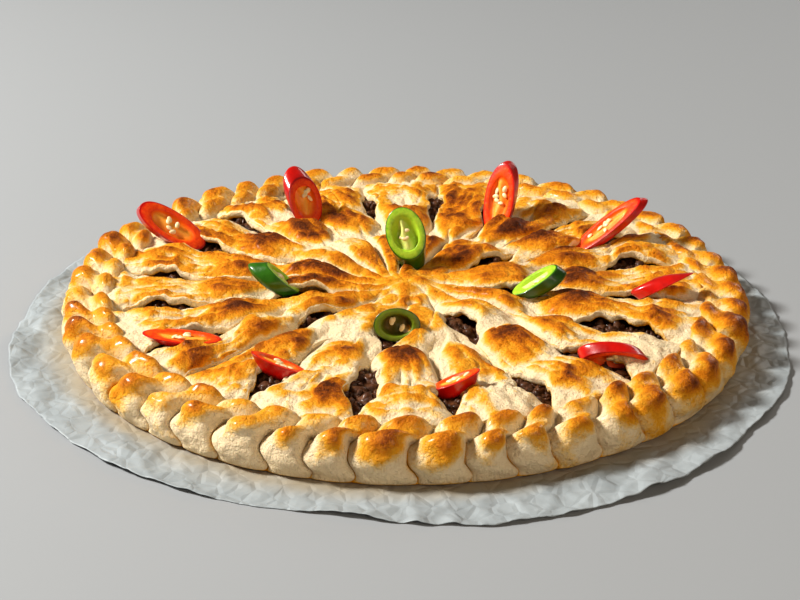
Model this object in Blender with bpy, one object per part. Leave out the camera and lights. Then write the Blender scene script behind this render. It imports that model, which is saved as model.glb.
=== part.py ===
"""A large round meat pie on a sheet of baking paper.

Metres, +Z up. The origin is on the table, under the middle of the pie. A reach is a distance from the
middle as a share of RADIUS, and heights in the section lists are shares of RADIUS too.
"""

import bisect
import math
import random

import bmesh
import bpy
from mathutils import Matrix, Vector, noise

# Driving dimensions
RADIUS = 0.165
PAPER_THICKNESS = 0.0004
GAP = 0.0003
BASE_HEIGHT = (PAPER_THICKNESS + GAP) / RADIUS
SEED = 7

# The plaited rim: one slanted fold after another, each with an outer and an inner bump
CRIMPS = 48
CRIMP_COLUMNS = 4
CRIMP_JITTER = 0.16
# reach, height, how far the crease is pressed in, how far it sags, slant in crimps, columns merged
RIM_SECTION = (
    (0.000, BASE_HEIGHT, 0.000, 0.000, 0.00, 24),
    (0.985, BASE_HEIGHT, 0.000, 0.000, 0.00, 4),
    (1.004, 0.012, 0.004, 0.000, 0.12, 2),
    (0.992, 0.034, 0.022, 0.000, 0.10, 1),
    (0.996, 0.074, 0.036, 0.000, 0.02, 1),
    (0.978, 0.113, 0.040, 0.018, 0.00, 1),
    (0.948, 0.132, 0.020, 0.044, 0.08, 1),
    (0.914, 0.117, 0.000, 0.034, 0.30, 1),
    (0.884, 0.136, 0.000, 0.038, 0.50, 1),
    (0.858, 0.121, -0.016, 0.022, 0.62, 1),
    (0.842, 0.092, 0.000, 0.000, 0.68, 2),
    (0.842, 0.048, 0.000, 0.000, 0.68, 4),
    (0.800, 0.026, 0.000, 0.000, 0.68, 4),
    (0.000, 0.026, 0.000, 0.000, 0.68, 24),
)

# The lid: cut in two rings of slits, pulled open into petals
LID_THICKNESS = 0.026
LID_COLUMNS = 80
# reach of each row of the lid's grid, and columns merged there
LID_ROWS = (
    (0.0, 8), (0.08, 8), (0.15, 8), (0.22, 2), (0.29, 2), (0.36, 2), (0.42, 2), (0.47, 1), (0.52, 1),
    (0.57, 1), (0.62, 1), (0.67, 1), (0.72, 1), (0.77, 1), (0.82, 1), (0.875, 1),
)
RING_SEAM = (0.37, 0.45)
VALLEY_HEIGHT = 0.093
PETAL_RELIEF = 0.042
LIP_LIFT = 0.016
EDGE_RAISE = 0.020
STAR_HEIGHT = 0.019
# direction in degrees, reach where the opening starts and ends, its width as a share of RADIUS
OUTER_SLITS = (
    (12, 0.62, 0.80, 0.060),
    (28, 0.56, 0.80, 0.070),
    (44, 0.60, 0.80, 0.050),
    (63, 0.54, 0.78, 0.070),
    (81, 0.54, 0.78, 0.060),
    (100, 0.56, 0.80, 0.045),
    (119, 0.58, 0.80, 0.080),
    (137, 0.60, 0.82, 0.050),
    (155, 0.56, 0.82, 0.060),
    (173, 0.62, 0.80, 0.055),
    (191, 0.60, 0.82, 0.055),
    (209, 0.58, 0.84, 0.075),
    (224, 0.50, 0.80, 0.000),
    (239, 0.56, 0.80, 0.060),
    (260, 0.52, 0.82, 0.085),
    (279, 0.56, 0.80, 0.065),
    (297, 0.58, 0.82, 0.065),
    (316, 0.60, 0.84, 0.070),
    (333, 0.54, 0.80, 0.080),
    (354, 0.58, 0.80, 0.050),
)
INNER_SLITS = (
    (33, 0.22, 0.40, 0.055),
    (69, 0.20, 0.40, 0.000),
    (88, 0.08, 0.40, 0.050),
    (108, 0.20, 0.40, 0.000),
    (130, 0.20, 0.40, 0.000),
    (152, 0.27, 0.42, 0.020),
    (173, 0.20, 0.40, 0.000),
    (195, 0.22, 0.44, 0.045),
    (222, 0.22, 0.42, 0.055),
    (264, 0.22, 0.42, 0.070),
    (300, 0.20, 0.44, 0.070),
    (328, 0.20, 0.40, 0.000),
    (348, 0.22, 0.44, 0.050),
)
SLIT_COLUMN = 2
WIDE_OPENING = 0.05
OPENING_HALF_ANGLE = 4.0
STRIP_COLUMNS = LID_COLUMNS // len(OUTER_SLITS)

# The minced meat: a disc that fills the crust, higher where the lid stands open
MEAT_COLUMNS = 40
MEAT_ROWS = ((0.0, 10), (0.16, 4), (0.30, 2), (0.42, 1), (0.54, 1), (0.62, 1), (0.70, 1), (0.78, 1))
MEAT_TOP = 0.060
MEAT_GRAIN = 0.003
GRAINS_PER_METRE = 90.0
MEAT_SWELL = 0.012
MEAT_SECTION = ((0.834, 0.052, 1), (0.834, 0.050, 2), (0.796, 0.0285, 2), (0.0, 0.0285, 10))

# The baking paper: flat under the pie, crumpled where it shows
PAPER_COLUMNS = 60
PAPER_FLAT = 1.012
PAPER_BANDS = 3
PAPER_REACH = (
    1.10, 1.08, 1.10, 1.11, 1.11, 1.11, 1.10, 1.10, 1.12,
    1.13, 1.165, 1.15, 1.14, 1.12, 1.175, 1.17, 1.14, 1.13,
)
PAPER_WAVE = 0.022
CRUMPLES_PER_METRE = 55.0

# Chilli slices: name, direction and reach and height of the cut face's middle, the way the face looks
# (heading, lift), the way its long axis points (roll), then length, width, depth, slant, taper and hollow
CHILLIES = (
    ("red_chilli_1", 157, 0.784, 0.166, 303, 45, 130, 0.241, 0.105, 0.040, 0.6, 0.86, 0.30),
    ("red_chilli_2", 122, 0.601, 0.165, 308, 24, 87, 0.168, 0.125, 0.041, 1.6, 0.85, 0.35),
    ("red_chilli_3", 59, 0.584, 0.173, 238, 22, 93, 0.234, 0.107, 0.042, 0.8, 0.92, 0.30),
    ("red_chilli_4", 26, 0.691, 0.168, 203, 51, 81, 0.278, 0.090, 0.033, 0.9, 0.92, 0.30),
    ("red_chilli_5", 353, 0.763, 0.140, 318, -53, 51, 0.177, 0.085, 0.037, -1.5, 0.62, 0.25),
    ("red_chilli_6", 213, 0.728, 0.128, 21, 82, 73, 0.224, 0.095, 0.028, -0.9, 0.72, 0.30),
    ("red_chilli_7", 239, 0.647, 0.128, 27, 66, 60, 0.164, 0.090, 0.043, -0.1, 0.55, 0.25),
    ("red_chilli_8", 281, 0.662, 0.128, 154, 66, 122, 0.145, 0.090, 0.043, -0.2, 0.60, 0.20),
    ("red_chilli_9", 317, 0.763, 0.112, 266, -34, 4, 0.181, 0.105, 0.043, -0.6, 0.90, 0.60),
    ("green_chilli_1", 188, 0.360, 0.150, 7, 48, 72, 0.134, 0.085, 0.052, 0.7, 1.10, 0.25),
    ("green_chilli_2", 90, 0.133, 0.212, 270, 25, 106, 0.168, 0.119, 0.090, -1.0, 0.60, 0.25),
    ("green_chilli_3", 346, 0.382, 0.160, 181, 58, 98, 0.151, 0.095, 0.044, 0.6, 1.00, 0.30),
    ("green_chilli_4", 266, 0.350, 0.137, 272, 20, 179, 0.131, 0.093, 0.055, 0.0, 0.92, 0.70),
)
SLICE_SIDES = 12
FLESH = 0.17
SEED_LENGTH = 0.022
SEEDS_IN_SLICE = 2


def clear_scene():
    for item in list(bpy.data.objects):
        bpy.data.objects.remove(item, do_unlink=True)


def new_collection(name, hidden=False):
    made = bpy.data.collections.new(name)
    bpy.context.scene.collection.children.link(made)
    made.hide_render = hidden
    return made


def material(name, colour, roughness):
    made = bpy.data.materials.new(name)
    made.use_nodes = True
    shader = made.node_tree.nodes["Principled BSDF"]
    shader.inputs["Base Color"].default_value = (*colour, 1.0)
    shader.inputs["Roughness"].default_value = roughness
    shader.inputs["Metallic"].default_value = 0.0
    return made


def object_of(bm, name, home, look=None):
    """An object that holds this bmesh, in the collection and with the material given."""
    bmesh.ops.recalc_face_normals(bm, faces=bm.faces[:])
    mesh = bpy.data.meshes.new(name)
    bm.to_mesh(mesh)
    bm.free()
    made = bpy.data.objects.new(name, mesh)
    home.objects.link(made)
    if look:
        mesh.materials.append(look)
    return made


def smoothstep(low, high, value):
    share = min(max((value - low) / (high - low), 0.0), 1.0)
    return share * share * (3.0 - 2.0 * share)


def hump(middle, spread, value):
    return math.exp(-(((value - middle) / spread) ** 2))


def on_circle(reach, degrees, height):
    angle = math.radians(degrees)
    return Vector((reach * math.cos(angle), reach * math.sin(angle), height)) * RADIUS


def flat_grid(columns, steps):
    """A grid whose x counts columns and whose y counts rows. A row's step is how many columns become one."""
    rows = len(steps) - 1
    bm = bmesh.new()
    bmesh.ops.create_grid(bm, x_segments=columns, y_segments=rows, size=0.5)
    places = {}
    for vert in bm.verts:
        column = round((vert.co.x + 0.5) * columns)
        row = round((vert.co.y + 0.5) * rows)
        vert.co = (column, row, 0.0)
        places[column, row] = vert
    merged = {}
    for (column, row), vert in places.items():
        kept = column - column % steps[row]
        if kept != column:
            merged[vert] = places[kept, row]
    bmesh.ops.weld_verts(bm, targetmap=merged)
    return bm


def wrap(bm, place):
    """Moves each vertex of a flat grid to place(column, row), and closes the seam and the middle."""
    for vert in bm.verts:
        vert.co = place(round(vert.co.x), round(vert.co.y))
    bmesh.ops.remove_doubles(bm, verts=bm.verts[:], dist=1e-7)


def thicken_down(bm, depth):
    """Gives an open surface a second face straight below it, cut into the same triangles."""
    bmesh.ops.triangulate(bm, faces=bm.faces[:])
    copied = bmesh.ops.extrude_face_region(bm, geom=bm.faces[:], use_keep_orig=True)
    lower = [item for item in copied["geom"] if isinstance(item, bmesh.types.BMVert)]
    bmesh.ops.translate(bm, verts=lower, vec=(0.0, 0.0, -depth))


# ---------------------------------------------------------------- rim


def crimp_sizes():
    draw = random.Random(SEED)
    return [(draw.uniform(-1.0, 1.0), draw.uniform(0.75, 1.15)) for _ in range(CRIMPS)]


def rim_point(sizes, column, row):
    reach, height, press, sag, slant, _ = RIM_SECTION[row]
    crimp, corner = divmod(column % (CRIMPS * CRIMP_COLUMNS), CRIMP_COLUMNS)
    across = corner / CRIMP_COLUMNS
    shift, size = sizes[crimp]
    after = sizes[(crimp + 1) % CRIMPS][0]
    jitter = CRIMP_JITTER * (shift + (after - shift) * across)
    crease = 1.0 - math.sin(math.pi * across) ** 0.6
    turn = (crimp + across + slant + jitter) * 360.0 / CRIMPS
    lift = (size - 1.0) * sag
    return on_circle(reach - press * crease, turn, height - sag * crease + lift)


def build_dish(home):
    """The rim with its folds, and the floor under the meat, as one closed ring of sections."""
    sizes = crimp_sizes()
    bm = flat_grid(CRIMPS * CRIMP_COLUMNS, [section[-1] for section in RIM_SECTION])
    wrap(bm, lambda column, row: rim_point(sizes, column, row))
    return object_of(bm, "dish", home)


# ---------------------------------------------------------------- lid


def slit_columns():
    """The lid column of each outer slit, and the nearest even column for each inner one."""
    outer = [SLIT_COLUMN + STRIP_COLUMNS * index for index in range(len(OUTER_SLITS))]
    turns = [slit[0] for slit in OUTER_SLITS]
    inner = []
    for slit in INNER_SLITS:
        column = spread(turns, outer, slit[0], 360.0, LID_COLUMNS)
        inner.append(2 * round(column / 2.0))
    return outer, inner


def spread(keys, values, key, key_round, value_round):
    """Reads a rising list that closes on itself, straight between its entries."""
    keys = [keys[-1] - key_round, *keys, keys[0] + key_round]
    values = [values[-1] - value_round, *values, values[0] + value_round]
    index = min(max(bisect.bisect_right(keys, key) - 1, 0), len(keys) - 2)
    share = (key - keys[index]) / (keys[index + 1] - keys[index])
    return values[index] + share * (values[index + 1] - values[index])


def opening(slit, reach):
    """How wide this slit stands open here, as a share of RADIUS."""
    _, start, end, width = slit
    if not start < reach < end:
        return 0.0
    return width * math.sin(math.pi * (reach - start) / (end - start)) ** 0.7


class Ring:
    """One ring of slits: where a column lies in its petal, and which slits bound that petal."""

    def __init__(self, slits, columns):
        self.slits = slits
        self.columns = columns
        self.turns = [slit[0] for slit in slits]

    def petal(self, column, side):
        """The slits before and after this column and the share of the way between them."""
        column = (column - self.columns[0]) % LID_COLUMNS + self.columns[0]
        index = bisect.bisect_right(self.columns, column + 0.01 * side) - 1
        before = self.columns[index]
        after = self.columns[index + 1] if index + 1 < len(self.columns) else self.columns[0] + LID_COLUMNS
        return index, (column - before) / (after - before)

    def turn(self, column):
        return spread(self.columns, self.turns, column, LID_COLUMNS, 360.0)

    def pull(self, column, side, reach):
        """How far the open slits push this point sideways, as a share of RADIUS."""
        index, share = self.petal(column, side)
        before = opening(self.slits[index], reach)
        after = opening(self.slits[(index + 1) % len(self.slits)], reach)
        return 0.5 * (before * (1.0 - share) - after * share)

    def lip(self, column, side, reach):
        """1 at the edge of a wide opening, 0 away from it."""
        index, share = self.petal(column, side)
        before = opening(self.slits[index], reach) * max(1.0 - 2.5 * share, 0.0)
        after = opening(self.slits[(index + 1) % len(self.slits)], reach) * max(2.5 * share - 1.5, 0.0)
        return min((before + after) / WIDE_OPENING, 1.0)

    def raised(self, column, side, reach):
        """1 at the edge of a wide opening on the side away from the front, where the petal stands up."""
        index, share = self.petal(column, side)
        before, after = self.slits[index], self.slits[(index + 1) % len(self.slits)]
        behind = opening(before, reach) * max(math.cos(math.radians(before[0])), 0.0) * max(1.0 - 2.0 * share, 0.0)
        ahead = opening(after, reach) * max(-math.cos(math.radians(after[0])), 0.0) * max(2.0 * share - 1.0, 0.0)
        return min((behind + ahead) / WIDE_OPENING, 1.0)

    def ridge(self, column, side):
        share = self.petal(column, side)[1]
        return 1.0 - abs(2.0 * share - 1.0) ** 2.2


def petal_humps(index, reach):
    """Two swellings along a petal of the outer ring, a little different in each petal."""
    draw = random.Random(SEED * 100 + index)
    first = hump(0.52 + draw.uniform(-0.02, 0.02), 0.07, reach) * draw.uniform(0.8, 1.1)
    second = hump(0.74 + draw.uniform(-0.02, 0.03), 0.07, reach) * draw.uniform(0.6, 1.0)
    return 0.35 + 0.65 * max(first, second)


def lid_height(outer, inner, column, side, reach):
    index = outer.petal(column, side)[0]
    share = smoothstep(*RING_SEAM, reach)
    far = PETAL_RELIEF * outer.ridge(column, side) * petal_humps(index, reach)
    far += LIP_LIFT * outer.lip(column, side, reach) + EDGE_RAISE * outer.raised(column, side, reach)
    near = PETAL_RELIEF * inner.ridge(column, side) * (0.35 + 0.65 * hump(0.30, 0.10, reach))
    near = near * smoothstep(0.0, 0.22, reach) + STAR_HEIGHT * hump(0.0, 0.12, reach)
    near += LIP_LIFT * inner.lip(column, side, reach) + EDGE_RAISE * inner.raised(column, side, reach)
    return VALLEY_HEIGHT + share * far + (1.0 - share) * near


def lid_point(outer, inner, column, side, reach):
    share = smoothstep(*RING_SEAM, reach)
    turn = inner.turn(column) + share * (outer.turn(column) - inner.turn(column))
    pull = outer.pull(column, side, reach) + inner.pull(column, side, reach)
    turn += math.degrees(pull / reach) if reach else 0.0
    return on_circle(reach, turn, lid_height(outer, inner, column, side, reach))


def cut_slits(bm, ring):
    """Splits the edges along each slit of the flat grid where the slit stands open."""
    columns = {column % LID_COLUMNS: slit for column, slit in zip(ring.columns, ring.slits)}
    cuts = []
    for edge in bm.edges:
        first, second = edge.verts
        slit = columns.get(round(first.co.x) % LID_COLUMNS)
        if slit is None or round(first.co.x) != round(second.co.x):
            continue
        reaches = [LID_ROWS[round(vert.co.y)][0] for vert in (first, second)]
        if any(opening(slit, reach) for reach in reaches):
            cuts.append(edge)
    bmesh.ops.split_edges(bm, edges=cuts)


def rings():
    outer_columns, inner_columns = slit_columns()
    return Ring(OUTER_SLITS, outer_columns), Ring(INNER_SLITS, inner_columns)


def build_lid(home):
    outer, inner = rings()
    bm = flat_grid(LID_COLUMNS, [row[1] for row in LID_ROWS])
    cut_slits(bm, outer)
    cut_slits(bm, inner)
    sides = {}
    for vert in bm.verts:
        middle = sum(face.calc_center_median().x for face in vert.link_faces) / len(vert.link_faces)
        sides[vert] = math.copysign(1.0, middle - vert.co.x)
    for vert in bm.verts:
        column, row = round(vert.co.x), round(vert.co.y)
        vert.co = lid_point(outer, inner, column, sides[vert], LID_ROWS[row][0])
    bmesh.ops.remove_doubles(bm, verts=bm.verts[:], dist=1e-7)
    thicken_down(bm, LID_THICKNESS * RADIUS)
    return object_of(bm, "lid", home)


# ---------------------------------------------------------------- filling


def open_share(turn, reach):
    """1 under the middle of a wide opening in the lid, 0 away from one."""
    widest = 0.0
    for slit in (*OUTER_SLITS, *INNER_SLITS):
        away = abs((turn - slit[0] + 180.0) % 360.0 - 180.0)
        if away < OPENING_HALF_ANGLE:
            widest = max(widest, opening(slit, reach))
    return min(widest / WIDE_OPENING, 1.0)


def meat_point(column, row):
    turn = column * 360.0 / MEAT_COLUMNS
    if row >= len(MEAT_ROWS):
        reach, height, _ = MEAT_SECTION[row - len(MEAT_ROWS)]
        return on_circle(reach, turn, height)
    reach = MEAT_ROWS[row][0]
    grain = noise.noise(on_circle(reach, turn, 0.0) * GRAINS_PER_METRE)
    return on_circle(reach, turn, MEAT_TOP + MEAT_GRAIN * grain + MEAT_SWELL * open_share(turn, reach))


def build_filling(home, look):
    bm = flat_grid(MEAT_COLUMNS, [row[-1] for row in (*MEAT_ROWS, *MEAT_SECTION)])
    wrap(bm, meat_point)
    return object_of(bm, "filling", home, look)


# ---------------------------------------------------------------- baking paper


def paper_edge(turn):
    """How far the torn edge of the paper reaches in this direction."""
    step = 360.0 / len(PAPER_REACH)
    turns = [step * index for index in range(len(PAPER_REACH))]
    return spread(turns, PAPER_REACH, turn % 360.0, 360.0, 0.0)


def paper_point(column, row):
    turn = column * 360.0 / PAPER_COLUMNS
    if row < 2:
        return on_circle(PAPER_FLAT * row, turn, PAPER_THICKNESS / RADIUS)
    share = (row - 1) / PAPER_BANDS
    reach = PAPER_FLAT + share * (paper_edge(turn) - PAPER_FLAT)
    crumple = abs(noise.noise(on_circle(reach, turn, 0.0) * CRUMPLES_PER_METRE))
    return on_circle(reach, turn, PAPER_THICKNESS / RADIUS + PAPER_WAVE * share * (0.45 + 0.8 * crumple))


def build_paper(home, look):
    bm = flat_grid(PAPER_COLUMNS, [12] + [1] * (PAPER_BANDS + 1))
    wrap(bm, paper_point)
    thicken_down(bm, PAPER_THICKNESS)
    return object_of(bm, "baking_paper", home, look)


# ---------------------------------------------------------------- chilli slices


def slice_frame(row):
    """The matrix that carries a slice from its own axes, x along the cut and z out of it, into the pie."""
    _, turn, reach, height, heading, lift, roll = row[:7]
    heading, lift, roll = (math.radians(value) for value in (heading, lift, roll))
    out = Vector((math.cos(heading) * math.cos(lift), math.sin(heading) * math.cos(lift), math.sin(lift)))
    level = Vector((-math.sin(heading), math.cos(heading), 0.0))
    along = level * math.cos(roll) + out.cross(level) * math.sin(roll)
    across = out.cross(along)
    turned = Matrix((along, across, out)).transposed()
    return Matrix.Translation(on_circle(reach, turn, height)) @ turned.to_4x4()


def slice_body(row, grow):
    """An oblique slice of a hollow pod: a slanted oval prism with its cut face pressed in."""
    length, width, depth, slant, taper, hollow = row[7:]
    length, width, depth = (value * RADIUS + 2.0 * grow for value in (length, width, depth))
    bm = bmesh.new()
    ends = {"radius1": 0.5 * taper, "radius2": 0.5, "depth": 1.0}
    bmesh.ops.create_cone(bm, cap_ends=True, segments=SLICE_SIDES, **ends)
    bmesh.ops.translate(bm, verts=bm.verts[:], vec=(0.0, 0.0, -0.5))
    if not grow:
        face = max(bm.faces, key=lambda item: item.calc_center_median().z)
        bmesh.ops.inset_region(bm, faces=[face], thickness=FLESH, use_even_offset=True)
        bmesh.ops.translate(bm, verts=face.verts, vec=(0.0, 0.0, -hollow))
    for vert in bm.verts:
        x, y, z = vert.co
        level = z * depth + grow
        vert.co = (x * length - level * slant, y * width, level)
    return bm


def slice_trimmings(row, home):
    """The pith across the hollow and a few flat seeds on it, sunk into one another so that they fuse."""
    length, width, depth, slant, _, hollow = row[7:]
    draw = random.Random(row[0])
    floor = -hollow * depth
    shapes = [((slant * hollow * depth, 0.0, floor), (0.30 * length, 0.12 * width, 0.10 * width))]
    for index in range(SEEDS_IN_SLICE):
        along = (index - 0.5) * 0.3 * length + draw.uniform(-0.01, 0.01)
        side = 0.05 * (-1) ** index * width
        size = (SEED_LENGTH * 0.5, SEED_LENGTH * 0.4, SEED_LENGTH * 0.3)
        shapes.append(((along + slant * hollow * depth, side, floor + 0.06 * width), size))
    for index, (place, size) in enumerate(shapes):
        bm = bmesh.new()
        bmesh.ops.create_icosphere(bm, subdivisions=1, radius=1.0)
        bmesh.ops.scale(bm, verts=bm.verts[:], vec=Vector(size) * RADIUS)
        bmesh.ops.translate(bm, verts=bm.verts[:], vec=Vector(place) * RADIUS)
        object_of(bm, f"{row[0]}_trimming_{index}", home)


def union_with(target, others):
    """Joins a collection's solids to the target, applies it and removes them."""
    joined = target.modifiers.new("join", "BOOLEAN")
    joined.operation = "UNION"
    joined.operand_type = "COLLECTION"
    joined.collection = others
    bpy.context.view_layer.update()
    graph = bpy.context.evaluated_depsgraph_get()
    mesh = bpy.data.meshes.new_from_object(target.evaluated_get(graph))
    target.modifiers.clear()
    target.data = mesh
    for item in list(others.objects):
        bpy.data.objects.remove(item, do_unlink=True)
    bpy.data.collections.remove(others)


def build_slice(row, home, looks):
    name = row[0]
    body = object_of(slice_body(row, 0.0), name, home)
    trimmings = new_collection(name + "_trimmings")
    slice_trimmings(row, trimmings)
    union_with(body, trimmings)
    body.data.materials.append(looks[name.split("_")[0]])
    body.matrix_world = slice_frame(row)
    return body


def cut_room(target, cutters):
    """Takes the room of the chilli slices out of a solid that they are stuck into."""
    room = target.modifiers.new("room", "BOOLEAN")
    room.operation = "DIFFERENCE"
    room.operand_type = "COLLECTION"
    room.collection = cutters


def build_cutters(home):
    for row in CHILLIES:
        made = object_of(slice_body(row, GAP), row[0] + "_room", home)
        made.matrix_world = slice_frame(row)
        made.hide_render = True
        made.display_type = "WIRE"


# ---------------------------------------------------------------- the pie


def build_crust(home, look):
    crust = build_dish(home)
    crust.name = "crust"
    tops = new_collection("tops")
    build_lid(tops)
    union_with(crust, tops)
    crust.data.materials.clear()
    crust.data.materials.append(look)
    return crust


def main():
    clear_scene()
    pie = new_collection("meat_pie")
    cutters = new_collection("cutters", hidden=True)
    baked = material("baked_dough", (0.72, 0.44, 0.19), 0.55)
    minced = material("minced_meat", (0.12, 0.06, 0.04), 0.45)
    parchment = material("parchment", (0.78, 0.76, 0.72), 0.6)
    looks = {
        "red": material("red_chilli_skin", (0.62, 0.02, 0.01), 0.2),
        "green": material("green_chilli_skin", (0.05, 0.20, 0.02), 0.2),
    }
    build_paper(pie, parchment)
    crust = build_crust(pie, baked)
    filling = build_filling(pie, minced)
    build_cutters(cutters)
    cut_room(crust, cutters)
    cut_room(filling, cutters)
    for row in CHILLIES:
        build_slice(row, pie, looks)
    for item in pie.objects:
        item.data.shade_smooth()


main()
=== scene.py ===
# %% [markdown]
# # A slit meat pie on baking paper
#
# This lesson dresses a plain solid model of a large round meat pie. The solids give the sizes. Here the
# crust gets its plaited rim and its lid of pulled-open petals, the slits show minced meat, and slices of
# red and green chilli stand in them. Everything lies on one crumpled round of baking paper.
#
# The first cell loads the solids as a fixed frame. Nothing in the frame is moved or resized: each new
# piece is fitted to it, rides on its one body and stands for the solid that it replaces.

# %% Load the frame
import itertools
import math
import random

import bpy
import numpy as np
from mathutils import Matrix, Vector


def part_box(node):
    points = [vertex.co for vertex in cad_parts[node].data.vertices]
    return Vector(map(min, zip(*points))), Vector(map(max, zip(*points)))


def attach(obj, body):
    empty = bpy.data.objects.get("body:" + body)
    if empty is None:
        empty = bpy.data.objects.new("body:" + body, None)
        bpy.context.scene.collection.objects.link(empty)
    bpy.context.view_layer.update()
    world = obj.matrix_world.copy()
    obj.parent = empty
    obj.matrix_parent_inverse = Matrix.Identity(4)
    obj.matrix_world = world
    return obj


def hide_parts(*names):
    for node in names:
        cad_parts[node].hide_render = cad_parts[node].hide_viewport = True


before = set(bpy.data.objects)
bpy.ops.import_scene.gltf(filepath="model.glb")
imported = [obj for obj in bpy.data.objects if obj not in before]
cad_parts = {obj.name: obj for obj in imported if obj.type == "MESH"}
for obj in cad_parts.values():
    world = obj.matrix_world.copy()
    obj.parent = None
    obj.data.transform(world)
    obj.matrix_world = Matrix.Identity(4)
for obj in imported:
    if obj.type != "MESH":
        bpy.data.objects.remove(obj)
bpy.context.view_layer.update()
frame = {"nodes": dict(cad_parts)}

crust_low, crust_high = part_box("crust")
RADIUS = round((crust_high[0] - crust_low[0]) / 2, 3)
print("nodes:", ", ".join(frame["nodes"]))

# %% [markdown]
# ## Helpers for shaping dough
#
# Baked dough has no straight edges and no two folds alike. So a sheet starts as a flat grid primitive, and
# a rule says where each of its vertices goes. They are read into an array, moved and written back, which is
# the same as pulling them by hand with proportional editing, only repeatable.
#
# Smooth random noise makes the sheet uneven. It is worked out on a lattice: each corner of a cell gets a
# fixed random number, and a point blends the eight corners around it.

# %% Random, but the same every time
SEED = 7


def corner_value(cell, seed):
    """One fixed random number from -1 to 1 for each whole-number corner of the lattice."""
    mixed = cell[:, 0] * 73856093 ^ cell[:, 1] * 19349663 ^ cell[:, 2] * 83492791 ^ seed * 2654435
    mixed = (mixed ^ (mixed >> 13)) * 1274126177
    mixed = (mixed ^ (mixed >> 16)) & 0xFFFFFF
    return mixed / 8388607.5 - 1.0


def noise(points, per_metre, seed=SEED):
    """Smooth noise from -1 to 1 at each point. per_metre is how many cells fit in a metre."""
    scaled = np.asarray(points) * per_metre
    cell = np.floor(scaled).astype(np.int64)
    share = scaled - cell
    share = share * share * (3.0 - 2.0 * share)
    total = np.zeros(len(scaled))
    for corner in itertools.product((0, 1), repeat=3):
        weight = np.ones(len(scaled))
        for axis, step in enumerate(corner):
            weight *= share[:, axis] if step else 1.0 - share[:, axis]
        total += weight * corner_value(cell + np.array(corner), seed)
    return total


def rough(points, per_metre, octaves=3, seed=SEED):
    """Noise in several sizes, each twice as fine and half as strong as the one before."""
    return sum(noise(points, per_metre * 2**level, seed + level) * 0.5**level for level in range(octaves))


def ease(low, high, value):
    share = np.clip((value - low) / (high - low), 0.0, 1.0)
    return share * share * (3.0 - 2.0 * share)


def hump(middle, spread, value):
    return np.exp(-(((value - middle) / spread) ** 2))


def turned_from(first, second):
    """How far the first direction is turned from the second, from -180 to 180 degrees."""
    return (first - second + 180.0) % 360.0 - 180.0


def around(reach, degrees, height):
    """Points at a reach and height, both as shares of the pie's radius, in a direction."""
    angle = np.radians(degrees)
    return np.stack([reach * np.cos(angle), reach * np.sin(angle), height + 0.0 * reach], axis=-1) * RADIUS


print("noise at the middle of the pie:", round(float(noise([[0.01, 0.02, 0.0]], 40.0)[0]), 3))

# %% [markdown]
# ## Sheets
#
# A grid primitive counts its columns along X and its rows along Y. `sheet` adds one, and hands back the
# column and the row of each vertex, so that a rule can say where that vertex belongs. `place_points`
# writes the new places, and `close_seam` merges the first column with the last. `finish_piece` smooths the
# shading and ties the piece to the frame.

# %% Make, place and finish a sheet
SAME_PLACE = 1e-6


def pick_only(item, *others):
    bpy.ops.object.select_all(action="DESELECT")
    for part in (item, *others):
        part.select_set(True)
    bpy.context.view_layer.objects.active = item


def apply_modifier(item, kind, **settings):
    pick_only(item)
    made = item.modifiers.new(kind.lower(), kind)
    for setting, value in settings.items():
        setattr(made, setting, value)
    bpy.ops.object.modifier_apply(modifier=made.name)


def primitive(add, **settings):
    bpy.ops.object.select_all(action="DESELECT")
    add(**settings)
    return bpy.context.object


def sheet(name, columns, rows):
    """A flat grid, with the column and the row of each vertex as arrays."""
    item = primitive(bpy.ops.mesh.primitive_grid_add, x_subdivisions=columns, y_subdivisions=rows, size=1.0)
    item.name = item.data.name = name
    return item, *grid_places(item, columns, rows)


def points_of(item):
    flat = np.empty(len(item.data.vertices) * 3)
    item.data.vertices.foreach_get("co", flat)
    return flat.reshape(-1, 3)


def grid_places(item, columns, rows):
    points = points_of(item)
    return np.rint((points[:, 0] + 0.5) * columns), np.rint((points[:, 1] + 0.5) * rows)


def place_points(item, points):
    item.data.vertices.foreach_set("co", np.ascontiguousarray(points, dtype=np.float32).ravel())
    item.data.update()


def paint(item, name, values):
    """Keeps one number for each vertex under a name, for the materials to read."""
    layer = item.data.attributes.new(name, "FLOAT", "POINT")
    layer.data.foreach_set("value", np.clip(values, 0.0, 1.0).astype(np.float32))


def change_mode(mode):
    bpy.ops.object.mode_set(mode=mode)


def close_seam(item, outwards=True):
    """Merges the first column with the last and the vertices at the pole, and turns the faces out."""
    pick_only(item)
    change_mode("EDIT")
    bpy.ops.mesh.select_all(action="SELECT")
    bpy.ops.mesh.remove_doubles(threshold=SAME_PLACE)
    if outwards:
        bpy.ops.mesh.normals_make_consistent(inside=False)
    change_mode("OBJECT")


def give_looks(item, looks):
    for look in looks:
        item.data.materials.append(look)


def finish_piece(item, looks, slot, *nodes):
    pick_only(item)
    bpy.ops.object.shade_smooth()
    if not item.data.materials:
        give_looks(item, looks)
    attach(item, "root")
    if nodes:
        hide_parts(*nodes)
    triangles = sum(len(face.vertices) - 2 for face in item.data.polygons)
    print(f"{item.name}: {triangles} triangles, stands for {', '.join(nodes) or 'nothing'}")


# %% [markdown]
# ## Node materials
#
# Each finish is a short chain of nodes. Object coordinates fix a pattern to the piece, and because each
# finished piece stays at the origin, unturned and unscaled, they are plain metres. Each helper below adds
# one node, sets its sockets and wires it.

# %% Helpers for materials


def new_material(name, sockets):
    """A material with some sockets of its shader set, and the tree and shader to go on with."""
    look = bpy.data.materials.new(name)
    look.use_nodes = True
    shader = look.node_tree.nodes["Principled BSDF"]
    for socket, value in sockets.items():
        shader.inputs[socket].default_value = value
    return look, look.node_tree, shader


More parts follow.
